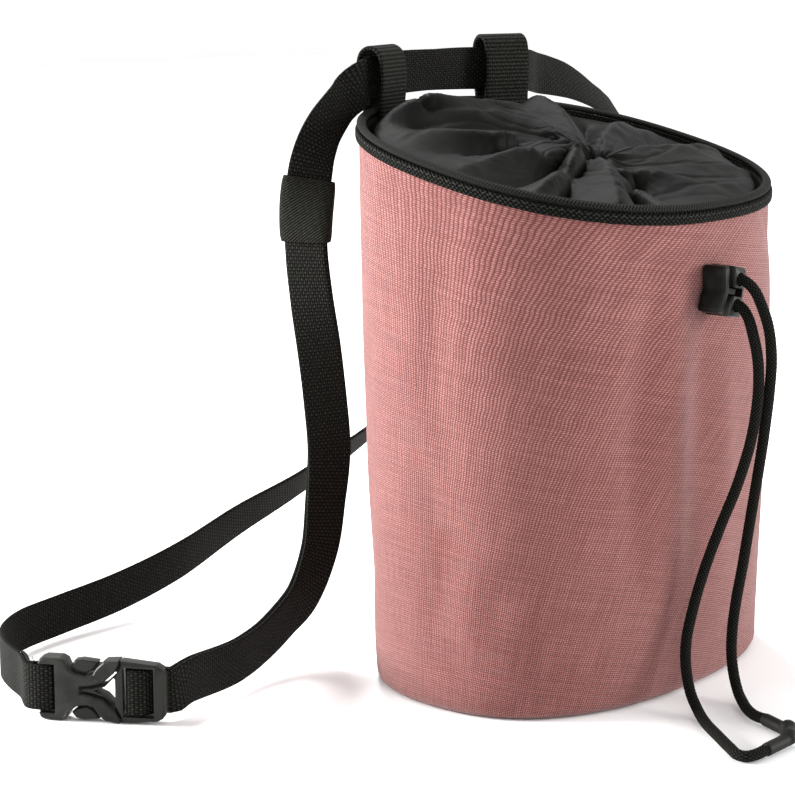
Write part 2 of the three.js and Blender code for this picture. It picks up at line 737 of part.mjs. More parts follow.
function beltKeeper() {
  const places = [-0.5, -0.17, 0.17, 0.5].map((share) => placeAtHeight(keeperPlace * height + share * keeperLength));
  const innerHalfWidth = beltWidth / 2 + gap;
  const innerHalfDepth = (beltThickness + layer) / 2 + gap;
  const outline = [
    [1, 0.6],
    [0.9, 1],
    [-0.9, 1],
    [-1, 0.6],
    [-1, -0.6],
    [-0.9, -1],
    [0.9, -1],
    [1, -0.6],
  ];
  const rows = outline.map(([a, b]) => {
    const at = (place, wall) =>
      place.centre
        .clone()
        .addScaledVector(place.face, -layer / 2 + b * (innerHalfDepth + wall))
        .addScaledVector(place.across, a * (innerHalfWidth + wall));
    const outer = places.map((place) => at(place, keeperThickness + 0.25));
    const inner = places.map((place) => at(place, 0.25));
    return [...outer, ...inner.toReversed()];
  });
  addPiece('belt_keeper', ringGeometry(rows), finish.webbing);
}

// A plate in the plane of the buckle or the lock: x along, y up, thickness centred on zero.
function plate(outline, thickness, bevel = 0) {
  const shape = new THREE.Shape(outline.map(([x, y]) => new THREE.Vector2(x, y)));
  const geometry = new THREE.ExtrudeGeometry(shape, {
    depth: thickness - 2 * bevel,
    bevelEnabled: bevel > 0,
    bevelThickness: bevel,
    bevelSize: bevel,
    bevelOffset: -bevel,
    bevelSegments: 1,
  });
  return solidOf(geometry.translate(0, 0, bevel - thickness / 2));
}

function mirrored(half) {
  return [...half, ...half.toReversed().map(([x, y]) => [x, -y])];
}

// A box between two corners.
function block([x0, y0, z0], [x1, y1, z1]) {
  const geometry = new THREE.BoxGeometry(x1 - x0, y1 - y0, z1 - z0);
  return solidOf(geometry.translate((x0 + x1) / 2, (y0 + y1) / 2, (z0 + z1) / 2));
}

const halfTall = buckleHeight / 2;
const slotHalf = beltWidth / 2 + slotGap;
const shoulder = 5.4; // where the socket's arms end
const waistHalf = 5.0;

// The seam between socket and plug, from the shoulder in to the tip of the V.
const seamCurve = [
  { along: 0.0, up: 0.88 },
  { along: 0.12, up: 0.58 },
  { along: 0.38, up: 0.26 },
  { along: 0.67, up: 0.15 },
  { along: 0.93, up: 0.105 },
];
const seamLength = 14.0;

function seamPoints(shift) {
  return seamCurve.map(({ along, up }) => [shoulder - along * seamLength + shift, up * halfTall - shift * 0.9]);
}

function buckleSocket(parent) {
  const left = socketEnd;
  const outline = mirrored([
    [left, halfTall - 2.4],
    [left + 0.7, halfTall - 0.7],
    [left + 2.4, halfTall],
    [left + 7.6, halfTall],
    [left + 9.3, halfTall - 0.8],
    [left + 10.4, waistHalf + 2.2],
    [left + 12.6, waistHalf + 0.6],
    [left + 16, waistHalf],
    [left + 18.4, waistHalf + 0.7],
    [left + 19.8, waistHalf + 2.8],
    [left + 22.2, halfTall - 0.4],
    [shoulder, halfTall],
    ...seamPoints(0),
  ]);
  const windowEnd = left + barWidth + 3.8;
  const window = block([left + barWidth, -slotHalf, -9], [windowEnd, slotHalf, 9]);
  const thin = block([left - 1, -slotHalf, barThickness / 2], [left + barWidth + 1, slotHalf, 9]);
  const thinBack = block([left - 1, -slotHalf, -9], [left + barWidth + 1, slotHalf, -barThickness / 2]);
  const pocketHalf = prongThickness / 2 + 0.4;
  let socket = plate(outline, buckleThickness, 0.6).subtract(window).subtract(thin).subtract(thinBack);
  for (const side of [-1, 1]) {
    const [low, high] = [5.9, 9.1].map((up) => side * up).sort((a, b) => a - b);
    socket = socket.subtract(block([left + 18, low, -pocketHalf], [shoulder + 1, high, pocketHalf]));
  }
  addPiece('buckle_socket', geometryOf(socket), finish.plastic, parent);
}

function bucklePlug(parent) {
  const seam = gap + 0.2;
  const outline = mirrored([
    [plugEnd, halfTall - 3.9],
    [plugEnd - 1.1, halfTall - 2.2],
    [plugEnd - 3, halfTall - 1.1],
    [shoulder + seam, halfTall - 0.1],
    ...seamPoints(seam),
  ]);
  const barStart = shoulder - 1.2;
  const window = block([shoulder + 1.2, -slotHalf, -9], [plugEnd - 3.9, slotHalf, 9]);
  const triangle = plate(
    [
      [barStart - 7.2, 0],
      [barStart - 3.4, -1.6],
      [barStart - 0.5, -4.6],
      [barStart, -4.2],
      [barStart, 4.2],
      [barStart - 0.5, 4.6],
      [barStart - 3.4, 1.6],
    ],
    18,
  );
  // The end bar is thinner at the back, so that both layers of webbing pass behind it.
  const passage = block([plugEnd - 5, -slotHalf, -9], [plugEnd + 1, slotHalf, -0.7]);
  const bar = block(
    [ladderBar - barWidth / 2, -slotHalf - 1, -barThickness / 2],
    [ladderBar + barWidth / 2, slotHalf + 1, barThickness / 2],
  );
  let plug = plate(outline, plugThickness, 0.5).subtract(window).subtract(triangle).subtract(passage).add(bar);
  const ear = [
    [socketEnd + 10.9, waistHalf + 2.7],
    [socketEnd + 12.3, halfTall - 0.8],
    [socketEnd + 14.6, halfTall - 0.4],
    [socketEnd + 20.0, halfTall - 0.9],
    [socketEnd + 19.4, halfTall - 2.4],
    [socketEnd + 17.9, waistHalf + 1.4],
    [socketEnd + 16, waistHalf + 0.5],
    [socketEnd + 12.9, waistHalf + 1.1],
  ];
  for (const side of [-1, 1]) {
    const turned = side > 0 ? ear : ear.map(([x, y]) => [x, -y]).toReversed();
    const [low, high] = [6.3, 8.7].map((up) => side * up).sort((a, b) => a - b);
    plug = plug
      .add(plate(turned, earThickness, 0.5))
      .add(block([socketEnd + 17, low, -prongThickness / 2], [shoulder + 1, high, prongThickness / 2]));
  }
  addPiece('buckle_plug', geometryOf(plug), finish.plastic, parent);
}

function buckle() {
  const frame = new THREE.Group();
  const basis = new THREE.Matrix4().makeBasis(buckleLength, upwards, buckleFace);
  frame.quaternion.setFromRotationMatrix(basis);
  frame.position.copy(buckleMiddle);
  part.add(frame);
  buckleSocket(frame);
  bucklePlug(frame);
}

// The cord lock: a body with two cord holes, and a sprung cap whose tongue runs in between them.
function cordLock() {
  const frame = new THREE.Group();
  const wallFront = wallPoint(-Math.PI / 2, lockZ / wallPoint(-Math.PI / 2, 1, 0).z, 0).y;
  const basis = new THREE.Matrix4().makeBasis(
    new THREE.Vector3(1, 0, 0),
    upwards,
    new THREE.Vector3(0, -1, 0),
  );
  const lean = new THREE.Matrix4().makeRotationY(-toRadians(lockLean));
  frame.quaternion.setFromRotationMatrix(lean.multiply(basis));
  frame.position.set(lockX, wallFront - 2 * gap - lockDepth / 2, lockZ);
  part.add(frame);

  const half = lockHeight / 2;
  const bend = lockBend * half;
  const near = lockGap / 2;
  const bodyOutline = [
    [near, 0],
    [near - bend, -half],
    [near + lockBodyWidth - 0.9, -half],
    [near + lockBodyWidth, -half + 2.2],
    [near + lockBodyWidth, half - 2.2],
    [near + lockBodyWidth - 0.9, half],
    [near - bend, half],
  ];
  const tongueHalf = 1.0;
  const tongueEnd = near + 2.6;
  const pocketEnd = tongueEnd + lockTravel + 0.6;
  const holeX = near + 2.7;
  let body = plate(bodyOutline, lockDepth, 0.5);
  for (const side of [-1, 1]) {
    const hole = new THREE.CylinderGeometry(
      cordDiameter / 2 + cordHoleClearance,
      cordDiameter / 2 + cordHoleClearance,
      lockDepth + 2,
      16,
    );
    hole.rotateX(Math.PI / 2).translate(holeX, (side * cordHoleSpacing) / 2, 0);
    body = body.subtract(solidOf(hole));
  }
  body = body.subtract(block([-3, -tongueHalf - 0.4, -2], [pocketEnd, tongueHalf + 0.4, lockDepth]));
  addPiece('cord_lock_body', geometryOf(body), finish.plastic, frame);

  const capHalf = half - 0.3;
  const capOutline = [
    [-near, 0],
    [-near - bend, capHalf],
    [-near - bend - lockCapWidth + 0.6, capHalf - 0.4],
    [-near - bend - lockCapWidth, capHalf - 1.6],
    [-near - lockCapWidth, 0],
    [-near - bend - lockCapWidth, -capHalf + 1.6],
    [-near - bend - lockCapWidth + 0.6, -capHalf + 0.4],
    [-near - bend, -capHalf],
  ];
  const tongue = block([-near - 1.5, -tongueHalf, -1.4], [tongueEnd, tongueHalf, lockDepth / 2 - 1.2]);
  const cap = plate(capOutline, lockDepth - 0.4, 0.7).add(tongue);
  addPiece('cord_lock_button', geometryOf(cap), finish.plastic, frame);
}

function cordStrand(name, points) {
  const curve = new THREE.CatmullRomCurve3(
    points.map((point) => new THREE.Vector3(...point)),
    false,
    'centripetal',
  );
  const sides = 8;
  const section = new THREE.Shape(
    Array.from({ length: sides }, (_, i) => {
      const turn = (i / sides) * 2 * Math.PI;
      return new THREE.Vector2((cordDiameter / 2) * Math.cos(turn), (cordDiameter / 2) * Math.sin(turn));
    }),
  );
  const geometry = new THREE.ExtrudeGeometry(section, { steps: 34, extrudePath: curve });
  addPiece(name, geometry, finish.cord);
}

// A round peg between two points.
function peg(from, to, radius, sides) {
  const along = to.clone().sub(from);
  const geometry = new THREE.CylinderGeometry(radius, radius, along.length(), sides);
  geometry.applyQuaternion(new THREE.Quaternion().setFromUnitVectors(new THREE.Vector3(0, 1, 0), along.normalize()));
  const middle = from.clone().add(to).divideScalar(2);
  return solidOf(geometry.translate(middle.x, middle.y, middle.z));
}

function cordEnd() {
  const knob = new THREE.Vector3(...knobPlace);
  const sleeveStarts = [upperStrand, lowerStrand].map((points) => {
    const [before, last] = points.slice(-2).map((point) => new THREE.Vector3(...point));
    return last.clone().addScaledVector(last.clone().sub(before).normalize(), gap);
  });
  const lobe = new THREE.Vector3().subVectors(sleeveStarts[1], sleeveStarts[0]).setZ(0).normalize();
  const knobEnds = [-1, 1].map((side) => knob.clone().addScaledVector(lobe, side * 5.4));
  let end = peg(knobEnds[0], knobEnds[1], knobRadius - 0.9, 10);
  for (const [i, start] of sleeveStarts.entries()) {
    const ball = new THREE.SphereGeometry(knobRadius, 10, 6);
    const lobeMiddle = knob.clone().lerp(knobEnds[i], 0.72);
    end = end
      .add(peg(start, lobeMiddle.clone().setZ(start.z), sleeveRadius, 10))
      .add(solidOf(ball.translate(lobeMiddle.x, lobeMiddle.y, lobeMiddle.z)));
  }
  addPiece('cord_end', geometryOf(end), finish.plastic);
}

sideWall();
basePanel();
rimBinding();
rimPiping();
closureCollar();
loopRows.forEach(beltLoop);
waistBelt();
beltKeeper();
buckle();
cordLock();
cordStrand('draw_cord_upper', upperStrand);
cordStrand('draw_cord_lower', lowerStrand);
cordEnd();

export default part;
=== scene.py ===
# The looks of a climbing chalk bag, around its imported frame.
# Sizes in the pieces' dictionaries are millimetres, and a mesh is brought to metres as it is made.
# The studio's places and the reliefs of the finishes are metres.
import math
from math import cos, pi, radians, sin, tau

import bpy
import numpy as np
from mathutils import Matrix, Vector, noise


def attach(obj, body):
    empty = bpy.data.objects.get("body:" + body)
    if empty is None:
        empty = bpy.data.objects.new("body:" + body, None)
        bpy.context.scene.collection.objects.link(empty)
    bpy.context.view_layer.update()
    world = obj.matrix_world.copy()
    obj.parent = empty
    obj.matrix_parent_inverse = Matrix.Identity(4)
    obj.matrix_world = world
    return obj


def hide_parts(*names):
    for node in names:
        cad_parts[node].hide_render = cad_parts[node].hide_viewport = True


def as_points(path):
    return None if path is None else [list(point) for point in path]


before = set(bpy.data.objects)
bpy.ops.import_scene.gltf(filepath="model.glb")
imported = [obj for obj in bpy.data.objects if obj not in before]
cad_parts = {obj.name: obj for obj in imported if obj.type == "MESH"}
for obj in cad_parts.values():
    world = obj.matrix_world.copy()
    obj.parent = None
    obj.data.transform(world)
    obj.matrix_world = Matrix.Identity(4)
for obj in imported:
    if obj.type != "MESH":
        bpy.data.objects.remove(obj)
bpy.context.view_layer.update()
mm = 0.001


def deselect():
    bpy.ops.object.select_all(action="DESELECT")


# Camera

view = {
    "place": (-629.72, -449.38, 247.42),
    "tilt": 78.56,
    "turn": -50.0,
    "lens": 104.15,
}


def addCamera():
    deselect()
    bpy.ops.object.camera_add(
        location=Vector(view["place"]) * mm,
        rotation=(radians(view["tilt"]), 0, radians(view["turn"])),
    )
    camera = bpy.context.object
    camera.name = "camera"
    camera.data.lens = view["lens"]
    camera.data.sensor_width = 36
    camera.data.sensor_fit = "HORIZONTAL"
    camera.data.clip_start = 0.05
    camera.data.clip_end = 20
    bpy.context.scene.camera = camera


addCamera()
print("camera placed")

# Finishes


class Wire:
    # A node's output that can be used in sums.
    def __init__(self, finish, socket):
        self.finish = finish
        self.socket = socket

    def sum(self, kind, first, second=None):
        values = {0: first} if second is None else {0: first, 1: second}
        return self.finish.add("ShaderNodeMath", {"operation": kind}, values)

    def __add__(self, other):
        return self.sum("ADD", self, other)

    def __sub__(self, other):
        return self.sum("SUBTRACT", self, other)

    def __rsub__(self, other):
        return self.sum("SUBTRACT", other, self)

    def __mul__(self, other):
        return self.sum("MULTIPLY", self, other)

    def __truediv__(self, other):
        return self.sum("DIVIDE", self, other)

    __radd__ = __add__
    __rmul__ = __mul__

    def wave(self):
        return self.sum("SINE", self)

    def rest(self):
        return self.sum("FRACT", self)

    def size(self):
        return self.sum("ABSOLUTE", self)

    def step(self, low, high):
        sockets = {"Value": self, "From Min": low, "From Max": high}
        return self.finish.add("ShaderNodeMapRange", {"interpolation_type": "SMOOTHSTEP"}, sockets)

    def output(self, number):
        return Wire(self.finish, self.socket.node.outputs[number])


class Finish:
    def __init__(self, name):
        self.material = bpy.data.materials.new(name)
        self.material.use_nodes = True
        self.tree = self.material.node_tree
        self.tree.nodes.clear()

    def add(self, kind, settings=None, sockets=None, out=0):
        node = self.tree.nodes.new(kind)
        for key, value in (settings or {}).items():
            setattr(node, key, value)
        for key, value in (sockets or {}).items():
            if isinstance(value, Wire):
                self.tree.links.new(value.socket, node.inputs[key])
            else:
                node.inputs[key].default_value = value
        return Wire(self, node.outputs[out]) if len(node.outputs) else None

    def places(self):
        # object coordinates
        return self.add("ShaderNodeTexCoord", out=3)

    def cloth(self):
        # The piece's own UV map: millimetres across the yarns and along them.
        uv = self.add("ShaderNodeUVMap", {"uv_map": "UVMap"})
        parts = self.add("ShaderNodeSeparateXYZ", None, {0: uv})
        return uv, parts, parts.output(1)

    def noise(self, vector, scale, detail=3.0, roughness=0.55):
        sockets = {"Vector": vector, "Scale": scale, "Detail": detail, "Roughness": roughness}
        return self.add("ShaderNodeTexNoise", None, sockets)

    def grain(self, vector, scale, detail=3.0, roughness=0.55, turn=(0, 0, 0)):
        # Noise with a scale for each direction.
        sockets = {"Vector": vector, "Scale": scale, "Rotation": turn}
        return self.noise(self.add("ShaderNodeMapping", None, sockets), 1.0, detail, roughness)

    def lattice(self, a, b, even):
        # Crossed yarns: even is 1 where every crossing stands up, and 0 where every second one does.
        crossed = a.wave() * b.wave()
        return crossed.size() * even + crossed * (1 - even)

    def mixed(self, factor, first, second, blend="MIX"):
        settings = {"data_type": "RGBA", "blend_type": blend}
        return self.add("ShaderNodeMix", settings, {0: factor, 6: first, 7: second}, out=2)

    def bump(self, height, strength, distance, under=None):
        sockets = {"Height": height, "Strength": strength, "Distance": distance}
        if under:
            sockets["Normal"] = under
        return self.add("ShaderNodeBump", None, sockets)

    def close(self, colour, rough, gloss, normal=None, sheen=(0.0, 0.5)):
        sockets = {"Base Color": colour, "Roughness": rough, "Specular IOR Level": gloss}
        sockets.update({"Sheen Weight": sheen[0], "Sheen Roughness": sheen[1]})
        if normal:
            sockets["Normal"] = normal
        shader = self.add("ShaderNodeBsdfPrincipled", None, sockets)
        self.add("ShaderNodeOutputMaterial", None, {0: shader})
        return self.material


def tint(red, green, blue):
    # A colour as it is seen on a screen, from 0 to 255.
    values = [c / 255 for c in (red, green, blue)]
    return (*[c / 12.92 if c < 0.04045 else ((c + 0.055) / 1.055) ** 2.4 for c in values], 1)


canvas = {
    "repeat": 1.36,  # two yarns
    "even": 0.88,
    "light": (166, 114, 110),
    "dark": (95, 58, 56),
    "worn": (234, 220, 218),
    "slub": 0.35,
    "relief": 0.0004,
    "sheen": (0.28, 0.4),  # how much, and its roughness
}


def canvasFinish():
    finish = Finish("canvas")
    uv, across, along = finish.cloth()
    wander = finish.grain(uv, (0.09, 0.09, 1), 2.0) * 1.6
    a = (across + wander) * (tau / canvas["repeat"])
    b = (along + wander * 0.6) * (tau / canvas["repeat"])
    lattice = finish.lattice(a, b, canvas["even"])
    slub = (finish.grain(uv, (1.4, 0.05, 1), 2.0) + finish.grain(uv, (0.05, 1.4, 1), 2.0)) * 0.5
    speck = finish.grain(uv, (1.9, 1.9, 1), 2.0)
    uneven = speck.step(0.3, 0.7) + slub.step(0.38, 0.62)
    light = lattice.step(0.0, 0.85) * (0.55 + canvas["slub"] * uneven)
    yarns = finish.mixed(light, tint(*canvas["dark"]), tint(*canvas["light"]))
    broad = finish.noise(finish.places(), 14.0)
    wear = slub.step(0.36, 0.64) * 0.5 + broad.step(0.3, 0.7) * 0.4
    worn = finish.mixed(wear, tint(*canvas["worn"]), tint(255, 255, 255))
    colour = finish.mixed(1.0, yarns, worn, "MULTIPLY")
    normal = finish.bump(lattice * 0.5 + slub * 0.5 + speck * 0.2, 0.9, canvas["relief"])
    return finish.close(colour, 0.72 + 0.16 * slub, 0.1, normal, canvas["sheen"])


def webbingFinish(name, columns, rows, ribs, even=0.7, slant=0.0):
    # Crossed yarns: columns and rows are one repeat each, ribs is how far the rows outweigh the columns.
    finish = Finish(name)
    uv, across, along = finish.cloth()
    a = across * (tau / columns)
    b = (along + across * slant) * (tau / rows)
    lattice = finish.lattice(a, b, even)
    rib = (b * 2).wave() * 0.5 + 0.5
    shape = lattice * (1 - ribs) + rib * ribs
    speck = finish.grain(uv, (1.1, 1.1, 1))
    lit = shape.step(0.05, 0.72) * (0.3 + 0.7 * speck.step(0.32, 0.68))
    colour = finish.mixed(lit, tint(3, 3, 2), tint(47, 47, 42))
    fade = finish.noise(finish.places(), 30.0)
    normal = finish.bump(shape + speck * 0.25, 1.0, 0.0003)
    return finish.close(colour, 0.62 + 0.2 * fade, 0.06, normal)


def beadFinish():
    # Fine herringbone on the rim's bead.
    finish = Finish("rim_bead")
    uv, across, along = finish.cloth()
    fold = ((across * 0.36).rest() - 0.5).size()
    shape = ((along * 0.9 + fold * 2.2) * tau).wave() * 0.5 + 0.5
    fibre = finish.grain(uv, (1.5, 1.5, 1))
    # The raised strands are painted lighter than the hollows between them: a painted highlight, with the
    # fibre noise adding tone that varies at random.
    colour = finish.mixed(shape.step(0.3, 0.95) * (0.3 + fibre), tint(6, 6, 5), tint(46, 46, 42))
    normal = finish.bump(shape + fibre * 0.3, 0.9, 0.0002)
    return finish.close(colour, 0.6 + 0.2 * fibre, 0.06, normal)


def nylonFinish():
    finish = Finish("nylon")
    uv, across, along = finish.cloth()
    yarn = (across * (tau / 0.5)).wave() * (along * (tau / 0.5)).wave()
    place = finish.places()
    creases = finish.grain(place, (60, 60, 60), 5.0, 0.6)
    long = finish.grain(place, (30, 120, 60), 4.0, 0.6, (0, 0, 0.6))
    broad = finish.noise(place, 35.0)
    colour = finish.mixed(broad.step(0.3, 0.7) * 0.7 + yarn * 0.12 + 0.1, tint(9, 9, 8), tint(20, 20, 18))
    normal = finish.bump(creases + long, 0.35, 0.0009)
    normal = finish.bump(yarn, 0.3, 0.00008, normal)
    return finish.close(colour, 0.43 + 0.12 * creases, 0.055, normal)


def plasticFinish(name, base, worn, rough, grit, gloss):
    finish = Finish(name)
    place = finish.places()
    fine = finish.noise(place, 2600.0, 2.0)
    cloud = finish.noise(place, 120.0)
    scuffs = finish.grain(place, (900, 260, 500), 4.0).step(0.6, 0.74)
    # Sharp edges are mixed toward the worn tint: a painted highlight along them. Scuffs are real wear, and
    # the cloud is tone that varies at random.
    edge = finish.add("ShaderNodeNewGeometry", out=7).step(0.52, 0.62)  # pointiness
    wearAndEdgeHighlight = edge * 0.8 + scuffs * 0.15 + cloud.step(0.35, 0.7) * 0.2
    colour = finish.mixed(wearAndEdgeHighlight, tint(*base), tint(*worn))
    normal = finish.bump(fine + cloud * 0.3, grit, 0.00006)
    return finish.close(colour, rough + 0.12 * cloud - 0.08 * edge, gloss, normal)


braid = {
    "strands": 5,  # each way round the cord
    "pitch": 2.6,
}


def braidFinish():
    # The UV map holds turns round the cord and millimetres along it.
    finish = Finish("braid")
    uv, around, along = finish.cloth()
    left = (around * braid["strands"] + along / braid["pitch"]) * tau
    right = (around * braid["strands"] - along / braid["pitch"]) * tau
    shape = (left.wave() * right.wave()).size()
    fibre = finish.grain(uv, (60, 3.2, 1))
    lit = shape.step(0.2, 0.95) * fibre.step(0.3, 0.75)
    colour = finish.mixed(lit, tint(3, 3, 2), tint(60, 60, 54))
    normal = finish.bump(shape + fibre * 0.4, 1.0, 0.0003)
    return finish.close(colour, 0.6 + 0.2 * fibre, 0.06, normal)


def threadFinish(name, light, dark):
    finish = Finish(name)
    twist = finish.grain(finish.places(), (2400, 2400, 2400), 2.0).step(0.35, 0.65)
    colour = finish.mixed(twist, tint(*dark), tint(*light))
    return finish.close(colour, 0.5 + 0.2 * twist, 0.15, finish.bump(twist, 0.6, 0.0001))


def floorFinish():
    finish = Finish("floor")
    cloud = finish.noise(finish.places(), 6.0)
    colour = finish.mixed(cloud.step(0.2, 0.8), tint(250, 250, 250), tint(255, 255, 255))
    return finish.close(colour, 0.9, 0.1)


looks = {
    "canvas": canvasFinish(),
    "belt": webbingFinish("belt_webbing", 1.6, 2.4, 0.15),
    "loop": webbingFinish("loop_webbing", 1.6, 2.7, 0.5),
    "keeper": webbingFinish("keeper_webbing", 1.6, 2.8, 0.6, slant=-1.4),
    "tape": webbingFinish("rim_tape", 1.6, 1.7, 0.0, even=0.0),
    "bead": beadFinish(),
    "nylon": nylonFinish(),
    # The second tint of each plastic and of the rubber is its worn colour, which the sharp edges also take
    # as a painted highlight.
    "plastic": plasticFinish("plastic", (22, 22, 20), (78, 78, 73), 0.38, 0.35, 0.16),
    # The plug's plastic is a darker copy of the socket's: painted shade on the plug.
    "plug": plasticFinish("plug_plastic_painted_shade", (16, 16, 15), (34, 34, 31), 0.38, 0.35, 0.13),
    "lock": plasticFinish("lock_plastic", (9, 9, 8), (62, 62, 58), 0.4, 0.3, 0.12),
    "rubber": plasticFinish("rubber", (20, 20, 19), (40, 40, 37), 0.5, 0.2, 0.15),
    "braid": braidFinish(),
    "thread": threadFinish("dark_thread", (58, 58, 53), (20, 20, 18)),
    "seamThread": threadFinish("seam_thread", (178, 124, 120), (120, 76, 74)),
    "floor": floorFinish(),
}
print("finishes made")

# Helpers for meshes


def choose(piece):
    deselect()
    bpy.context.view_layer.objects.active = piece
    piece.select_set(True)


def edit(piece):
    choose(piece)
    bpy.ops.object.mode_set(mode="EDIT")
    bpy.ops.mesh.select_mode(type="VERT")
    bpy.ops.mesh.select_all(action="SELECT")


def leaveEdit():
    bpy.ops.object.mode_set(mode="OBJECT")


def closeSeams(piece, fill=False, outwards=False):
    edit(piece)
    bpy.ops.mesh.remove_doubles(threshold=2e-6)
    if outwards:
        bpy.ops.mesh.normals_make_consistent(inside=False)
    if fill:
        bpy.ops.mesh.select_all(action="DESELECT")
        bpy.ops.mesh.select_non_manifold(extend=False)
        bpy.ops.mesh.edge_face_add()
    leaveEdit()


def called(piece, name):
    piece.name = name
    piece.data.name = name
    return piece


def clothGrid(name, columns, rows, place, paint, fill=False, outwards=False):
    # A grid whose points go to place(u, v), and whose UV map holds paint(u, v); both run from 0 to 1.
    # Edges that meet are joined, and fill closes the open ends.
    deselect()
    bpy.ops.mesh.primitive_grid_add(x_subdivisions=columns, y_subdivisions=rows, size=1)
    piece = called(bpy.context.object, name)
    spots = [(vertex.co.x + 0.5, vertex.co.y + 0.5) for vertex in piece.data.vertices]
    for vertex, (u, v) in zip(piece.data.vertices, spots):
        vertex.co = Vector(place(u, v)) * mm
    for corner in piece.data.uv_layers.active.data:
        corner.uv = paint(*corner.uv)
    closeSeams(piece, fill, outwards)
    return piece


def modify(piece, kind, settings):
    choose(piece)
    modifier = piece.modifiers.new(kind.lower(), kind)
    for key, value in settings.items():
        setattr(modifier, key, value)
    bpy.ops.object.modifier_apply(modifier=modifier.name)


def smooth(piece, degrees=None):
    choose(piece)
    if degrees is None:
        bpy.ops.object.shade_smooth()
    else:
        bpy.ops.object.shade_smooth_by_angle(angle=radians(degrees))


def dress(piece, look, nodes=(), body="bag"):
    piece.data.materials.clear()
    piece.data.materials.append(looks[look])
    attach(piece, body)
    if nodes:
        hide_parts(*nodes)


def curveThrough(points, share):
    # A smooth curve through the points, as the frame's routes are: share runs from 0 to the last index.
    last = len(points) - 1
    i = min(int(share), last - 1)
    t = share - i
    one, two = points[i], points[i + 1]
    zero = points[i - 1] if i > 0 else one * 2 - two
    three = points[i + 2] if i + 2 <= last else two * 2 - one
    steps = [max((q - p).length, 1e-4) ** 0.5 for p, q in ((zero, one), (one, two), (two, three))]
    before = (one - zero) / steps[0] - (two - zero) / (steps[0] + steps[1]) + (two - one) / steps[1]
    after = (two - one) / steps[1] - (three - one) / (steps[1] + steps[2]) + (three - two) / steps[2]
    before, after = before * steps[1], after * steps[1]
    return (
        one
        + before * t
        + (two * 3 - one * 3 - before * 2 - after) * t**2
        + (one * 2 - two * 2 + before + after) * t**3
    )


def runAlong(points):
    run = [0.0]
    for one, two in zip(points, points[1:]):
        run.append(run[-1] + (Vector(two) - Vector(one)).length)
    return run


def evenSteps(points, step=None, count=None):
    # Places at even distances along the curve: each is (share, point).
    fine = [i / 24 for i in range(24 * (len(points) - 1) + 1)]
    line = [curveThrough(points, share) for share in fine]
    run = runAlong(line)
    count = count or max(2, round(run[-1] / step))
    wanted = np.linspace(0, run[-1], count + 1)
    shares = np.interp(wanted, run, fine)
    return [(float(share), curveThrough(points, float(share))) for share in shares], run[-1]


# Draw cord

cord = {
    "diameter": 3.7,
    "columns": 40,
    "step": 0.42,
    "relief": 0.2,
    "upper": [
        (-1.9, -58.5, 138.6), (-1.9, -62.0, 138.6), (-1.9, -66.5, 138.5), (-2.4, -71.0, 136.0),
        (-2.3, -74.2, 130.6), (-2.1, -76.8, 123.6), (-2.3, -78.2, 114.0), (-2.5, -77.9, 103.7),
        (-2.1, -76.6, 92.8), (-0.2, -74.0, 80.6), (1.3, -71.3, 68.0), (1.3, -69.5, 55.8),
        (0.0, -68.5, 44.0), (-2.0, -67.7, 32.8), (-3.1, -67.2, 22.7), (-3.1, -67.2, 14.0),
        (-3.7, -68.7, 7.6), (-6.3, -72.0, 3.4), (-11.2, -76.9, 2.1), (-16.8, -82.3, 2.1),
        (-20.0, -86.9, 2.1), (-20.9, -90.6, 2.1),
    ],
    "lower": [
        (-3.6, -58.5, 130.4), (-3.6, -62.0, 130.4), (-3.62, -66.6, 130.35), (-4.7, -70.4, 127.4),
        (-5.6, -73.4, 121.1), (-5.8, -75.2, 114.6), (-6.4, -76.2, 106.5), (-6.8, -75.8, 97.0),
        (-7.4, -74.1, 86.0), (-8.7, -70.6, 72.5), (-10.7, -66.2, 59.0), (-13.0, -61.8, 43.5),
        (-16.0, -59.9, 31.0), (-18.8, -59.6, 21.4), (-20.6, -60.7, 14.0), (-23.6, -64.6, 6.2),
        (-28.6, -71.0, 2.4), (-36.5, -79.0, 2.1), (-43.9, -88.1, 2.1), (-50.7, -96.7, 2.1),
        (-54.2, -101.6, 2.1), (-54.0, -104.4, 2.1), (-51.0, -105.7, 2.1), (-46.0, -106.2, 2.2),
    ],
    "faceY": -65.6,  # where the strands leave the lock
}


def tubeFrames(line):
    # Directions across a line of points, carried along it without twist.
    frames = []
    side = Vector((1, 0, 0))
    for i, point in enumerate(line):
        along = (line[min(i + 1, len(line) - 1)] - line[max(i - 1, 0)]).normalized()
        side = (side - along * side.dot(along)).normalized()
        frames.append((point, side, along.cross(side)))
    return frames


def addCord(name, points):
    places, length = evenSteps([Vector(p) for p in points], step=cord["step"])
    line = [point for _, point in places]
    frames = tubeFrames(line)
    rows = len(line) - 1
    radius = cord["diameter"] / 2

    def place(u, v):
        middle, side, other = frames[round(v * rows)]
        turn = tau * u
        climb = tau * v * length / braid["pitch"]
        left = sin(turn * braid["strands"] + climb)
        right = sin(turn * braid["strands"] - climb)
        out = radius - cord["relief"] * (1 - abs(left * right))
        return middle + (side * cos(turn) + other * sin(turn)) * out

    piece = clothGrid(name, cord["columns"], rows, place, lambda u, v: (u, v * length), fill=True)
    smooth(piece, 60)
    dress(piece, "braid", ["draw_" + name])
    leaves = next(p for p in line if p.y < cord["faceY"])
    print(name, round(length, 1), "mm long")
    return piece, [tuple(p * mm) for p in line], tuple(leaves * mm)


upperCord, upperPath, upperExit = addCord("cord_upper", cord["upper"])
lowerCord, lowerPath, lowerExit = addCord("cord_lower", cord["lower"])
print("cords made")

# Bag body

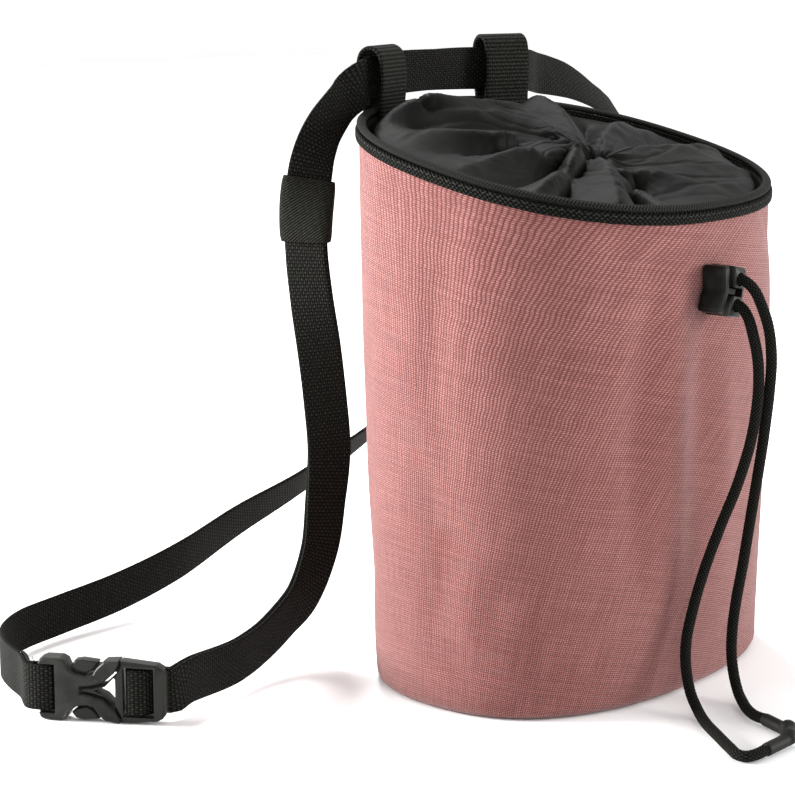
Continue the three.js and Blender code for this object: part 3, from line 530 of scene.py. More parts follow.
wall = {
    "height": 173.1,
    "baseHalf": (77.0, 52.8),
    "mouthHalf": (72.5, 61.2),
    "mouthShift": 4.8,
    "rimSlope": 0.224,
    "roundness": 2.35,
    "bulge": 1.5,
    "thickness": 1.5,
    "roll": 3.4,
    "lip": 2.6,
    "grid": (300, 128),
    "seam": 0.6,  # depth of the groove down the back
    "fan": 0.25,  # how far the yarns turn for each turn round the bag
    "fanStart": 175.0,  # the place round the bag where they lie level, in degrees
    "meanRadius": 66.0,
    "degree": 1.15,  # millimetres round the wall
}

# Broad dents and swells, as the frame has them: degrees, share of the height, spread of both, depth.
wallDents = [
    (-34, 0.9, 16, 0.05, 1.6),
    (-34, 0.7, 22, 0.15, -2.0),
    (-18, 0.22, 26, 0.18, 1.8),
    (-92, 0.8, 9, 0.07, 1.0),
    (-118, 0.5, 9, 0.24, 1.1),
    (-150, 0.3, 14, 0.2, -0.8),
    (-165, 0.1, 22, 0.035, 0.9),
    (150, 0.55, 16, 0.25, 0.9),
]

# Soft creases of the canvas: a line of (degrees, share of the height), its depth and half width.
wallCreases = [
    ([(-114, 0.9), (-117, 0.76), (-119, 0.6), (-118, 0.42), (-116, 0.25)], 1.5, 5.0),
    ([(-108, 0.86), (-106, 0.72), (-107, 0.55), (-106, 0.35)], -1.3, 6.0),
    ([(-98, 0.76), (-97, 0.6), (-96, 0.42), (-95, 0.24)], 1.6, 6.0),
    ([(-86, 0.7), (-84, 0.5), (-83, 0.3)], -1.0, 6.0),
    ([(-150, 0.8), (-147, 0.7), (-143, 0.62)], 0.6, 7.0),
    ([(-172, 0.9), (-177, 0.78), (-178, 0.62), (-172, 0.5)], 1.3, 8.0),
    ([(-160, 0.14), (-156, 0.22), (-150, 0.3)], 1.0, 7.0),
    ([(-179, 0.42), (-172, 0.33), (-176, 0.2), (-170, 0.1)], 1.2, 8.0),
    ([(-128, 0.93), (-116, 0.9), (-107, 0.885)], 1.2, 3.5),
    ([(-66, 0.985), (-60, 0.95), (-56, 0.9)], 0.9, 3.5),
    ([(-40, 0.9), (-46, 0.7), (-50, 0.45)], 0.9, 7.0),
    ([(-12, 0.95), (-8, 0.7), (-12, 0.4), (-6, 0.15)], 0.8, 8.0),
    ([(20, 0.9), (26, 0.65), (22, 0.4)], 0.9, 8.0),
    ([(52, 0.85), (56, 0.6), (50, 0.3)], -0.8, 9.0),
    ([(92, 0.9), (88, 0.6), (95, 0.3)], 0.8, 8.0),
    ([(122, 0.95), (118, 0.7), (124, 0.45)], 0.9, 7.0),
    ([(148, 0.4), (140, 0.2), (132, 0.1)], 0.8, 8.0),
]


def fromSeam(u):
    # The place round the bag, starting at the seam down its back.
    return radians(90) + tau * u


def turnBetween(one, two):
    return (one - two + 540) % 360 - 180


def hill(distance, spread):
    return math.exp(-((distance / spread) ** 2))


def wallDent(degrees, level):
    return sum(
        depth * hill(turnBetween(degrees, at), wide) * hill(level - up, tall)
        for at, up, wide, tall, depth in wallDents
    )


def lineDistance(x, y, line):
    # Distance to a line of points, and how far along it the nearest place is.
    best, where = 1e9, 0.0
    for i in range(len(line) - 1):
        (ax, ay), (bx, by) = line[i], line[i + 1]
        dx, dy = bx - ax, by - ay
        t = max(0.0, min(1.0, ((x - ax) * dx + (y - ay) * dy) / (dx * dx + dy * dy)))
        away = math.hypot(x - ax - t * dx, y - ay - t * dy)
        if away < best:
            best, where = away, (i + t) / (len(line) - 1)
    return best, where


def wallCrease(degrees, level):
    depth = 0.0
    for line, deep, wide in wallCreases:
        middle = line[len(line) // 2][0]
        x = turnBetween(degrees, middle) * wall["degree"]
        if abs(x) > 60:
            continue
        points = [(turnBetween(d, middle) * wall["degree"], up * wall["height"]) for d, up in line]
        away, where = lineDistance(x, level * wall["height"], points)
        depth += deep * hill(away, wide) * (0.35 + 0.65 * sin(pi * where))
    turn = radians(degrees)
    spot = Vector((cos(turn) * 1.7, sin(turn) * 1.7, level * 2.2))
    return depth + 0.5 * noise.noise(spot) + 0.16 * noise.noise(spot * 3.1)


def wallPoint(angle, level, inset, folds=0.0):
    (baseX, baseY), (mouthX, mouthY) = wall["baseHalf"], wall["mouthHalf"]
    belly = wall["bulge"] * 4 * level * (1 - level)
    degrees = math.degrees(angle)
    dent = wallDent(degrees, level) * min(1, level / 0.05) * min(1, (1 - level) / 0.05) + folds
    halfX = baseX + (mouthX - baseX) * level + belly - inset - dent
    halfY = baseY + (mouthY - baseY) * level + belly - inset - dent
    cosine, sine = cos(angle), sin(angle)
    n = wall["roundness"]
    reach = (abs(cosine) ** n + abs(sine) ** n) ** (-1 / n)
    y = halfY * reach * sine
    top = wall["height"] + wall["rimSlope"] * y
    return Vector((halfX * reach * cosine, y + wall["mouthShift"] * level, level * top))


def rimPoint(angle, out, up):
    return wallPoint(angle, 1, -out) + Vector((0, 0, up))


def skirtPoint(angle, run):
    # A point of the wall's outside by its distance from the inner edge of the hem under the base.
    roll, lip = wall["roll"], wall["lip"]
    if run < lip:
        point = wallPoint(angle, 0, roll + lip - run)
        point.z = 0.02
        return point
    turned = (run - lip) / roll
    if turned < pi / 2:
        level = roll * (1 - cos(turned)) / wallPoint(angle, 1, 0).z
        return wallPoint(angle, level, roll * (1 - sin(turned)))
    low = roll / wall["height"]
    share = (turned - pi / 2) * roll / (wall["height"] - roll)
    level = low + (1 - low) * share
    fade = min(1, share / 0.06) * min(1, (1 - share) / 0.03)
    seam = wall["seam"] * hill(turnBetween(math.degrees(angle), 90), 0.9)
    return wallPoint(angle, level, 0, wallCrease(math.degrees(angle), level) * fade + seam)


def addWall():
    total = wall["lip"] + wall["roll"] * pi / 2 + wall["height"] - wall["roll"]
    reach = wall["meanRadius"] / wall["fan"]

    def place(u, v):
        return skirtPoint(fromSeam(u), v * total)

    def paint(u, v):
        # the panel's cut: the yarns lie level at one side and lean more and more round the front
        fan = wall["fan"] * (tau * u - radians(wall["fanStart"] - 90))
        return ((reach - v * total) * sin(fan), reach - (reach - v * total) * cos(fan))

    piece = clothGrid("canvas_wall", *wall["grid"], place, paint)
    settings = {"thickness": wall["thickness"] * mm, "offset": -1, "use_even_offset": True}
    modify(piece, "SOLIDIFY", settings)
    smooth(piece)
    dress(piece, "canvas", ["side_wall"])


base = {
    "gap": 0.3,  # to the turned hem
    "grid": (120, 40),
    "lift": 0.25,
    "sag": 0.35,
    "edge": 1.1,  # how far its border turns up
    "border": 0.97,
    "weave": 80.0,
    "thickness": 1.0,
}


def addBase():
    inset = wall["roll"] + wall["lip"] + base["gap"]

    def place(u, v):
        point = wallPoint(tau * u, 0, inset) * min(1, v * 1.06)
        sag = abs(base["sag"] * noise.noise(Vector((point.x * 0.04, point.y * 0.04, 3))))
        turned = base["edge"] * (v - base["border"]) / (1 - base["border"])
        point.z = base["lift"] + (sag if v < base["border"] else turned)
        return point

    def paint(u, v):
        turn, far = tau * u, base["weave"] * v
        return far * cos(turn), far * sin(turn)

    piece = clothGrid("base", *base["grid"], place, paint, outwards=True)
    modify(piece, "SOLIDIFY", {"thickness": base["thickness"] * mm, "offset": -1})
    smooth(piece, 50)
    dress(piece, "canvas", ["base_panel"])


addWall()
addBase()
print("bag body made")

# Rim

rim = {
    "gap": 0.3,
    "tape": 0.8,
    "drop": 2.2,
    "innerDrop": 3.5,
    "bead": 1.1,
    "beadTop": 3.6,
    "pucker": 0.12,
    "stitch": 2.7,
    "girth": 422.0,
    "tapeGrid": (480, 30),
    "beadGrid": (600, 20),
}


def addRimTape():
    outer = rim["gap"] + rim["tape"]
    inner = -wall["thickness"] - rim["gap"] - rim["tape"]
    section = [
        Vector(p)
        for p in (
            (rim["gap"] + 0.1, -rim["drop"], 0), (outer - 0.15, -rim["drop"] - 0.05, 0),
            (outer + 0.06, -rim["drop"] + 0.5, 0), (outer + 0.1, -0.7, 0), (outer, 0.4, 0),
            (outer - 0.35, 1.0, 0), (-0.4, 1.15, 0), (inner + 1.0, 1.1, 0), (inner + 0.1, 0.7, 0),
            (inner - 0.05, -0.8, 0), (inner, -rim["innerDrop"], 0),
            (inner + 0.6, -rim["innerDrop"] - 0.05, 0),
        )
    ]
    columns, rows = rim["tapeGrid"]
    places, length = evenSteps(section, count=rows)
    outline = [point for _, point in places]
    count = round(rim["girth"] / rim["stitch"])

    def place(u, v):
        spot = outline[round(v * rows)]
        pucker = rim["pucker"] * cos(tau * u * count) * hill(spot.y - 0.1, 0.5) * (spot.x > 0)
        return rimPoint(fromSeam(u), spot.x - pucker - 0.06 * hill(spot.y - 0.1, 0.25), spot.y)

    piece = clothGrid("rim_tape", columns, rows, place, lambda u, v: (v * length, u * rim["girth"]))
    smooth(piece, 60)
    dress(piece, "tape", ["rim_band"])


def addRimBead():
    middle = -wall["thickness"] / 2
    radius = rim["bead"]

    def place(u, v):
        turn = tau * v
        wave = 1 + 0.025 * sin(tau * u * 300 + 3 * turn)
        out = middle + radius * 1.35 * wave * cos(turn)
        return rimPoint(fromSeam(u), out, rim["beadTop"] - radius + radius * wave * sin(turn))

    around = tau * radius * 1.18
    piece = clothGrid("rim_bead", *rim["beadGrid"], place, lambda u, v: (v * around, u * rim["girth"]))
    smooth(piece)
    dress(piece, "bead", ["rim_piping"])


def addStitches(name, places, thickness, material):
    # One short stitch, copied to each place: (middle, along, out, length).
    deselect()
    bpy.ops.mesh.primitive_uv_sphere_add(segments=6, ring_count=5, radius=0.5)
    first = bpy.context.object
    copies = []
    for middle, along, out, length in places:
        stitch = first.copy()
        stitch.data = first.data.copy()
        bpy.context.collection.objects.link(stitch)
        side = along.cross(out).normalized()
        turn = Matrix((along * length, side * thickness, out * thickness)).transposed().to_4x4()
        stitch.data.transform(Matrix.Translation(Vector(middle) * mm) @ Matrix.Scale(mm, 4) @ turn)
        copies.append(stitch)
    bpy.data.objects.remove(first)
    deselect()
    for stitch in copies:
        stitch.select_set(True)
    bpy.context.view_layer.objects.active = copies[0]
    bpy.ops.object.join()
    piece = called(bpy.context.object, name)
    smooth(piece)
    dress(piece, material)


def addRimStitches():
    count = round(rim["girth"] / rim["stitch"])
    places = []
    for i in range(count):
        angle = tau * i / count
        middle = rimPoint(angle, rim["gap"] + rim["tape"] - 0.02, 0.25)
        along = (rimPoint(angle + 0.01, 1, 0) - rimPoint(angle - 0.01, 1, 0)).normalized()
        out = (rimPoint(angle, 1, 0) - rimPoint(angle, 0, 0)).normalized()
        places.append((middle, along, out, rim["stitch"] * 0.8))
    addStitches("rim_stitches", places, 0.3, "thread")


# The two rows beside the groove down the back of the wall.
seamRows = {
    "beside": 1.9,  # degrees
    "start": 3.0,
    "count": 56,
    "pitch": 2.9,
    "stitch": 2.3,
}


def addSeamStitches():
    first = wall["lip"] + wall["roll"] * pi / 2 + seamRows["start"]
    places = []
    for side in (-1, 1):
        angle = radians(90 + side * seamRows["beside"])
        out = Vector((cos(angle), sin(angle), 0))
        for i in range(seamRows["count"]):
            run = first + i * seamRows["pitch"]
            along = (skirtPoint(angle, run + 0.5) - skirtPoint(angle, run - 0.5)).normalized()
            places.append((skirtPoint(angle, run), along, out, seamRows["stitch"]))
    addStitches("seam_stitches", places, 0.32, "seamThread")


addRimTape()
addRimBead()
addRimStitches()
addSeamStitches()
print("rim made")

# Closure collar

collar = {
    "eye": (4.0, -4.0),
    "eyeRadius": 2.2,
    "inset": 2.9,
    "grid": (360, 112),
    "thickness": 0.4,
    "cell": 0.8,
    "rounds": 900,
    "blur": 1,
    "chop": 0.25,
    "wrinkle": 0.5,
    "cut": (420.0, 82.0),
    "swirl": 1.1,  # how far the pleats turn on their way to the eye
    "pleats": [(0.54, 11, 1.0), (0.36, 17, 2.0)],  # depth, number and start of each set
    "pleatsAt": 6.0,  # how far from the eye they are deepest
    "ripple": 0.35,
    "eyeDepth": 7.0,
    "eyeSpread": 3.4,
    "tuck": 6.0,  # how far its edge goes down inside the rim
    "slopeStep": 1.2,
}

# Ridges and valleys of the gathered cloth: points of x, y and height over the rim's plane.
collarLines = [
    # the puff at the back left and its slopes
    [(-50, 45, 3), (-40, 45.3, 8.5), (-34, 43.5, 11.5), (-26.7, 41.4, 13.5), (-19, 40, 12.5),
     (-11, 38, 12), (1.6, 34.5, 11.2), (10, 32, 10)],
    [(-33, 44.5, 7), (-26.3, 37, 9), (-16, 32.4, 9.6), (-6, 31, 9.6), (2.7, 29.6, 9.5), (4, 23.4, 9),
     (2.4, 13.4, 8), (1, 6, 6.5), (3, 2, 5)],
    [(-42, 38, 2.5), (-33, 32, 4), (-25, 28, 4), (-10, 23, 4.5), (-2, 16, 4.5), (0, 8, 4)],
    [(-56, 36, 1), (-52.8, 33.6, 3), (-43.6, 31, 4.8), (-35.6, 26.5, 6), (-24.5, 19.7, 6.6),
     (-12, 12.6, 6.8), (-6, 6, 5.5), (0, 2, 4.5)],
    [(-50, 20, 0.5), (-40, 18, 0.0), (-27, 17, -2.3), (-14, 14, -0.9), (-8, 9, 2)],
    [(-64, 4, 0.8), (-56, 4, 1.8), (-48.8, 4.5, 3.0), (-36.7, 4, 4.6), (-28, 4, 5.6), (-22.9, 2.5, 6.2)],
    [(-22.9, 2.5, 6.2), (-20, -1, 3.5), (-17, 0, 4.8), (-10, 0, 5.4), (-3, 2, 5.6), (2, 3, 5)],
    [(-62, -6, -1.9), (-52, -8, -4.2), (-38, -9, -4.9), (-26, -6, -3.8), (-18, -4, -2.3),
     (-8, -2, -0.4), (0, 0, 1)],
    [(-59, -24, 1.5), (-50.2, -23.5, 4.6), (-36, -19.2, 6.2), (-18.1, -10.9, 7.0), (-8, -5, 7.2),
     (-0.6, 1, 7)],
    [(-50, -28, -2.8), (-38, -21, -3.2), (-25.2, -14.6, -2.2), (-12, -9.5, 0.0), (-2, -5, 2.0),
     (4, -2, 3.6)],
    [(-1.7, -9.3, 5.0), (-8, -17, 6.0), (-16.2, -24.3, 6.2), (-28, -35, 5.6), (-41.2, -46, 2.8)],
    [(1, -11, 0.5), (-3, -19, -4.2), (-12, -31, -6.0), (-27, -45, -4.0)],
    [(1, -14, 2.4), (-6, -21.5, 1.6), (-10.4, -30, 1.6), (-16, -41, 1.6), (-21.8, -51, 1.5)],
    [(3, -14, 1.2), (2, -20, -2.7), (-3, -32, -4.2), (-8, -45, -2.8)],
    [(4, -9, 3.4), (-1, -18, 3.2), (4, -22.5, 3.6), (12, -26, 3.6), (21, -32.5, 3.4), (26, -42, 2.8),
     (43.5, -38, 2.4)],
    [(6, -6, 4), (10.4, -7.7, 4.8), (19.7, -8.4, 6), (28.4, -11, 6.8), (38.6, -13.5, 7.2),
     (50, -14, 6.8), (60, -14, 5), (65, -15, 3)],
    [(8, -26, 4.4), (18, -34, 3.0), (16, -44, 2.4), (10, -52, 1)],
    [(30, -24, 5.4), (44, -30, 4.6), (54, -34, 2.5)],
    [(12, -3, 3), (20, -3, 2.4), (34, 0, 1.4), (48, 2, 1.2), (62, 2, 0.5)],
    [(9.5, -1, 4), (22.5, 6, 4.8), (38, 13.5, 5.4), (50, 19, 5.2), (60, 22.5, 3)],
    [(44, 7, 3.2), (54, 11, 3.6), (63, 13, 2.4)],
    [(11, 3, 2.6), (24, 13, 0.6), (38, 24, -2.3), (52, 34, -3.4)],
    [(6, 5, 4.6), (16, 14, 6.2), (24.6, 23, 7.4), (31.8, 33, 8.8), (34, 41.5, 9.4), (36, 48, 5)],
    [(8, 9, 4), (12, 20, 5.4), (15, 30, 6), (20, 42, 5), (22, 54, 1.5)],
    [(9, 8, 5.2), (15, 17, 6.6), (20, 24, 6.4), (25, 34, 6.2)],
    [(-8, 52, 4.5), (6, 53, 4.2), (-22, 52, 5)],
]


def collarHeights():
    # The cloth is stretched over the ridges and into the valleys, and then rounded a little.
    cell = collar["cell"]
    xs = np.arange(-82, 82 + cell, cell)
    ys = np.arange(-66, 76 + cell, cell)
    sums = np.zeros((len(ys), len(xs)))
    pins = np.zeros_like(sums)

    def pin(x, y, h):
        # shared between the four cells round the place
        a, b = (x - xs[0]) / cell, (y - ys[0]) / cell
        j, i = int(a), int(b)
        for down, right in ((0, 0), (0, 1), (1, 0), (1, 1)):
            share = (1 - abs(a - j - right)) * (1 - abs(b - i - down))
            sums[i + down, j + right] += share * h
            pins[i + down, j + right] += share

    for line in collarLines:
        points = [Vector(p) for p in line]
        for _, point in evenSteps(points, step=0.3)[0]:
            pin(*point)
    for i in range(1440):
        edge = rimPoint(radians(i / 4), -collar["inset"] - 1.2, 0)
        pin(edge.x, edge.y, 0.6)
    fixed = pins > 0.35
    heights = np.where(fixed, sums / np.maximum(pins, 0.35), 1.0)

    def neighbours(field):
        return sum(np.roll(field, step, axis) for axis in (0, 1) for step in (1, -1)) / 4

    for _ in range(collar["rounds"]):
        heights = np.where(fixed, heights, neighbours(heights))
    for _ in range(collar["blur"]):
        heights = heights * 0.4 + neighbours(heights) * 0.6
    return xs, ys, heights


collarMap = collarHeights()


def collarHeight(x, y):
    xs, ys, heights = collarMap
    a, b = (x - xs[0]) / collar["cell"], (y - ys[0]) / collar["cell"]
    j, i = int(a), int(b)
    s, t = a - j, b - i
    s, t = s * s * (3 - 2 * s), t * t * (3 - 2 * t)
    low = heights[i, j] * (1 - s) + heights[i, j + 1] * s
    high = heights[i + 1, j] * (1 - s) + heights[i + 1, j + 1] * s
    return float(low * (1 - t) + high * t)


def collarPoint(angle, inward):
    (eyeX, eyeY), radius, beside = collar["eye"], collar["eyeRadius"], collar["slopeStep"]
    edge = rimPoint(angle, -collar["inset"], 0)
    x = edge.x + (eyeX + radius * cos(angle) - edge.x) * inward
    y = edge.y + (eyeY + radius * sin(angle) - edge.y) * inward
    far = math.hypot(x - eyeX, y - eyeY)
    swirl = angle + collar["swirl"] * inward**1.3
    pleats = sum(deep * sin(number * swirl + start) for deep, number, start in collar["pleats"])
    rise = collarHeight(x, y) + pleats * hill(far - collar["pleatsAt"], collar["pleatsAt"])
    slopeX = collarHeight(x + beside, y) - collarHeight(x - beside, y)
    slopeY = collarHeight(x, y + beside) - collarHeight(x, y - beside)
    rise += collar["ripple"] * noise.noise(Vector((x * 0.16, y * 0.16, 1.7))) * min(1, inward * 8)
    streak = noise.noise(Vector((cos(swirl) * 4.5, sin(swirl) * 4.5, far * 0.03)))
    pull = max(0.0, 1 - abs(streak) * 6) ** 1.5 * min(1, inward * 4) * min(1, far / 10)
    rise -= collar["wrinkle"] * pull + collar["eyeDepth"] * hill(far, collar["eyeSpread"])
    rimShare = min(1, inward / 0.03)
    rise = rise * rimShare - collar["tuck"] * (1 - rimShare)
    chop = collar["chop"] * min(1, inward * 6) * min(1, far / 12)
    plane = wall["height"] + wall["rimSlope"] * (y - wall["mouthShift"])
    return Vector((x - chop * slopeX, y - chop * slopeY, plane + rise))


def addCollar():
    def place(u, v):
        return collarPoint(fromSeam(u), v**0.9)

    width, length = collar["cut"]
    piece = clothGrid("collar", *collar["grid"], place, lambda u, v: (u * width, v * length))
    modify(piece, "SOLIDIFY", {"thickness": collar["thickness"] * mm, "offset": -1})
    smooth(piece)
    dress(piece, "nylon", ["closure_collar"])
    return piece


collarPiece = addCollar()
# a tube as wide as the mouth, cut to this size, with its far edge drawn in to the eye
print("collar made")

# Webbing

belt = {
    "width": 15.0,
    "thickness": 1.2,
    "gap": 0.3,
    "step": 2.0,
    "loopWidth": 18.0,
    "keeperPlace": 0.903,
    "keeperLength": 21.0,
    "keeperThickness": 1.0,
    "keeperSlack": 0.25,
    "keeperRound": (0.42, 0.55),  # 1 would be an ellipse, 0 a box
    "keeperGrid": (96, 24),
    "loopBow": 2.8,
    "loopReach": 14.0,  # down the wall
    "flap": 13.0,
    # stitches in a row, their pitch and their length
    "flapRow": (7, 2.0, 1.5),
    "loopRow": (7, 2.2, 1.7),
    "loopSide": (3, 1.9, 1.5),
    "loopBox": (4.0, 7.1, 10.0, 7.4),  # how far down its three levels are, and half its width
}

# Places of the two loops: along X, height over the wall's edge, clearance of the belt, its climb.
loopRows = [
    ("loop_left", "belt_loop_left", -27.0, 23.6, 1.4, 0.9),
    ("loop_right", "belt_loop_right", 36.0, 26.0, 2.2, -0.6),
]

# The belt's route: across, back and up as shares of the bag, then where its upper edge leans, in degrees.
nearStrand = [
    (-1.857, -0.178, 0.0225, 190, 88), (-1.8, -0.17, 0.025, 190, 88), (-1.739, -0.155, 0.0235, 190, 88),
    (-1.643, -0.131, 0.02, 195, 88), (-1.538, -0.106, 0.0168, 200, 87), (-1.411, -0.0735, 0.0156, 205, 84),
    (-1.19, -0.013, 0.026, 207, 76), (-1.02, 0.0, 0.058, 194, 62), (-0.906, 0.0, 0.09, 178, 42),
    (-0.785, 0.0, 0.175, 169, 20), (-0.741, 0.0, 0.274, 160, 8), (-0.717, 0.0, 0.375, 145, 0),
    (-0.745, 0.0, 0.478, 135, -4), (-0.786, 0.0, 0.58, 128, -6), (-0.841, 0.0, 0.685, 112, -4),
    (-0.876, 0.0, 0.783, 106, -2), (-0.875, 0.0, 0.85, 112, 0), (-0.848, 0.0, 0.916, 128, 8),
    (-0.814, 0.0, 0.965, 148, 20), (-0.752, 0.0, 1.008, 160, 35), (-0.665, 0.0, 1.043, 171, 48),
    (-0.6, -0.005, 1.066, 180, 66),
]
farStrand = [
    (0.92, 0.01, 1.088, 30, 84), (1.05, 0.016, 1.079, 58, 71), (1.184, 0.016, 1.067, 58, 61),
    (1.32, 0.016, 1.048, 60, 52), (1.459, 0.02, 1.024, 64, 45), (1.6, 0.035, 1.002, 66, 38),
    (1.726, 0.07, 0.973, 64, 33), (1.85, 0.22, 0.885, 56, 26), (1.87, 0.48, 0.73, 48, 18),
    (1.72, 0.74, 0.57, 42, 8), (1.434, 0.948, 0.43, 40, -6), (1.076, 1.11, 0.326, 40, -20),
    (0.69, 1.22, 0.235, 40, -33), (0.23, 1.26, 0.165, 40, -45), (-0.13, 1.38, 0.104, 40, -62),
    (-0.59, 1.38, 0.049, 40, -80), (-1.0, 1.39, 0.018, 40, -88), (-1.4, 1.39, 0.005, 40, -90),
    (-1.68, 1.34, 0.004, 40, -90), (-1.84, 1.25, 0.004, 40, -90), (-1.959, 1.136, 0.005, 40, -90),
    (-2.055, 0.989, 0.008, 40, -90), (-2.131, 0.824, 0.011, 40, -90), (-2.197, 0.649, 0.014, 40, -90),
]

buckle = {
    "across": -2.1,
    "back": 0.12,
    "yaw": -60.0,
    "height": 20.8,
    "socketEnd": -21.5,
    "plugEnd": 20.7,
    "ladderBar": 10.8,
    "barWidth": 2.0,
    "barThickness": 2.4,
}

upwards = Vector((0, 0, 1))
layer = belt["thickness"] + belt["gap"]
besideBar = buckle["barThickness"] / 2 + belt["gap"] + belt["thickness"] / 2
mouthX, mouthY = wall["mouthHalf"]
backEdge = wall["mouthShift"] + mouthY
buckleTurn = radians(buckle["yaw"])
buckleLength = Vector((cos(buckleTurn), sin(buckleTurn), 0))
buckleFace = Vector((sin(buckleTurn), -cos(buckleTurn), 0))
buckleMiddle = Vector((buckle["across"] * mouthX, backEdge + buckle["back"] * mouthY, buckle["height"] / 2))


def atBuckle(along, forward):
    return buckleMiddle + buckleLength * along + buckleFace * forward


def routePlace(row):
    across, back, up, turn, rise = row
    turn, rise = radians(turn), radians(rise)
    middle = Vector((across * mouthX, backEdge + back * mouthY, belt["width"] / 2 + up * wall["height"]))
    lean = Vector((cos(rise) * cos(turn), cos(rise) * sin(turn), sin(rise)))
    return middle, lean


def loopFrame(x):
    share = abs(x) / mouthX
    n = wall["roundness"]
    angle = math.atan2((1 - share**n) ** (1 / n), math.copysign(share, x))
    foot = rimPoint(angle, 0, 0)
    along = rimPoint(angle - 0.05, 0, 0) - rimPoint(angle + 0.05, 0, 0)
    along.z = 0
    along.normalize()
    return foot, along, Vector((-along.y, along.x, 0))


def rimSagitta(x):
    foot, _, out = loopFrame(x)
    sagitta = 0.0
    for degrees in range(180):
        offset = rimPoint(radians(degrees), 0, 0) - foot
        offset.z = 0
        if offset.length < belt["loopWidth"] / 2 + 1:
            sagitta = max(sagitta, abs(offset.dot(out)))
    return sagitta


def placesInLoop(x, clear, climb):
    foot, along, out = loopFrame(x)
    places = []
    for side in (-1, 0, 1):
        middle = foot + out * 1.2 + along * side * (belt["loopWidth"] / 2 + 2)
        middle.z += rim["beadTop"] + clear + belt["width"] / 2 + side * climb
        places.append((middle, upwards))
    return places


def smoothPlaces(places, step):
    steps, _ = evenSteps([middle for middle, _ in places], step=step)
    result = []
    for share, point in steps:
        i = min(int(share), len(places) - 2)
        across = places[i][1].lerp(places[i + 1][1], share - i).normalized()
        result.append((point, across))
    return result


def withFaces(places):
    result = []
    for i, (middle, across) in enumerate(places):
        along = (places[min(i + 1, len(places) - 1)][0] - places[max(i - 1, 0)][0]).normalized()
        across = (across - along * across.dot(along)).normalized()
        result.append((middle, along, across, along.cross(across).normalized()))
    return result


def layerBehind(places, offset):
    return [(middle + face * offset, across) for middle, _, across, face in places]


def beltRoute():
    left, right = (placesInLoop(x, clear, climb) for _, _, x, _, clear, climb in loopRows)
    middle = Vector((4.5, backEdge + 1.3, (left[2][0].z + right[0][0].z) / 2 + 0.3))
    plugEnd, socketEnd = buckle["plugEnd"], buckle["socketEnd"]
    places = [
        (atBuckle(plugEnd + 1, -besideBar), upwards),
        (atBuckle(plugEnd + 2.2, -besideBar - 1.3), upwards),
        *map(routePlace, nearStrand),
        *left,
        (middle, Vector((0, -0.25, 1)).normalized()),
        *right,
        *map(routePlace, farStrand),
        (atBuckle(socketEnd - 4, besideBar - 1.2), -upwards),
        (atBuckle(socketEnd - 1, besideBar), -upwards),
    ]
    return withFaces(smoothPlaces(places, belt["step"]))


route = beltRoute()


def ribbonSection(width, thickness):
    # The outline of webbing: flat faces and round edges, as (across, face).
    half, edge = width / 2, thickness / 2
    flat = [-0.96, -0.8, -0.6, -0.4, -0.2, 0.0, 0.2, 0.4, 0.6, 0.8, 0.96]
    top = [(half * a, edge) for a in reversed(flat)]
    bottom = [(half * a, -edge) for a in flat]
    leftSide = [(-half * 0.985, edge * 0.8), (-half, 0.0), (-half * 0.985, -edge * 0.8)]
    rightSide = [(half * 0.985, -edge * 0.8), (half, 0.0), (half * 0.985, edge * 0.8)]
    return [*top, *leftSide, *bottom, *rightSide, top[0]]


def addRibbon(name, places, width, thickness):
    # Webbing along places of (middle, along, across, face).
    section = ribbonSection(width, thickness)
    rows, columns = len(places) - 1, len(section) - 1
    run = runAlong([spot[0] for spot in places])

    def place(u, v):
        middle, _, across, face = places[round(v * rows)]
        a, b = section[round(u * columns)]
        return middle + across * a + face * b

    def paint(u, v):
        a, b = section[round(u * columns)]
        return (a + (width if b < 0 else 0), run[round(v * rows)])

    piece = clothGrid(name, columns, rows, place, paint, fill=True)
    smooth(piece, 50)
    return piece


def stitchRow(middle, along, out, count, pitch, length):
    return [(middle + along * (i - (count - 1) / 2) * pitch, along, out, length) for i in range(count)]


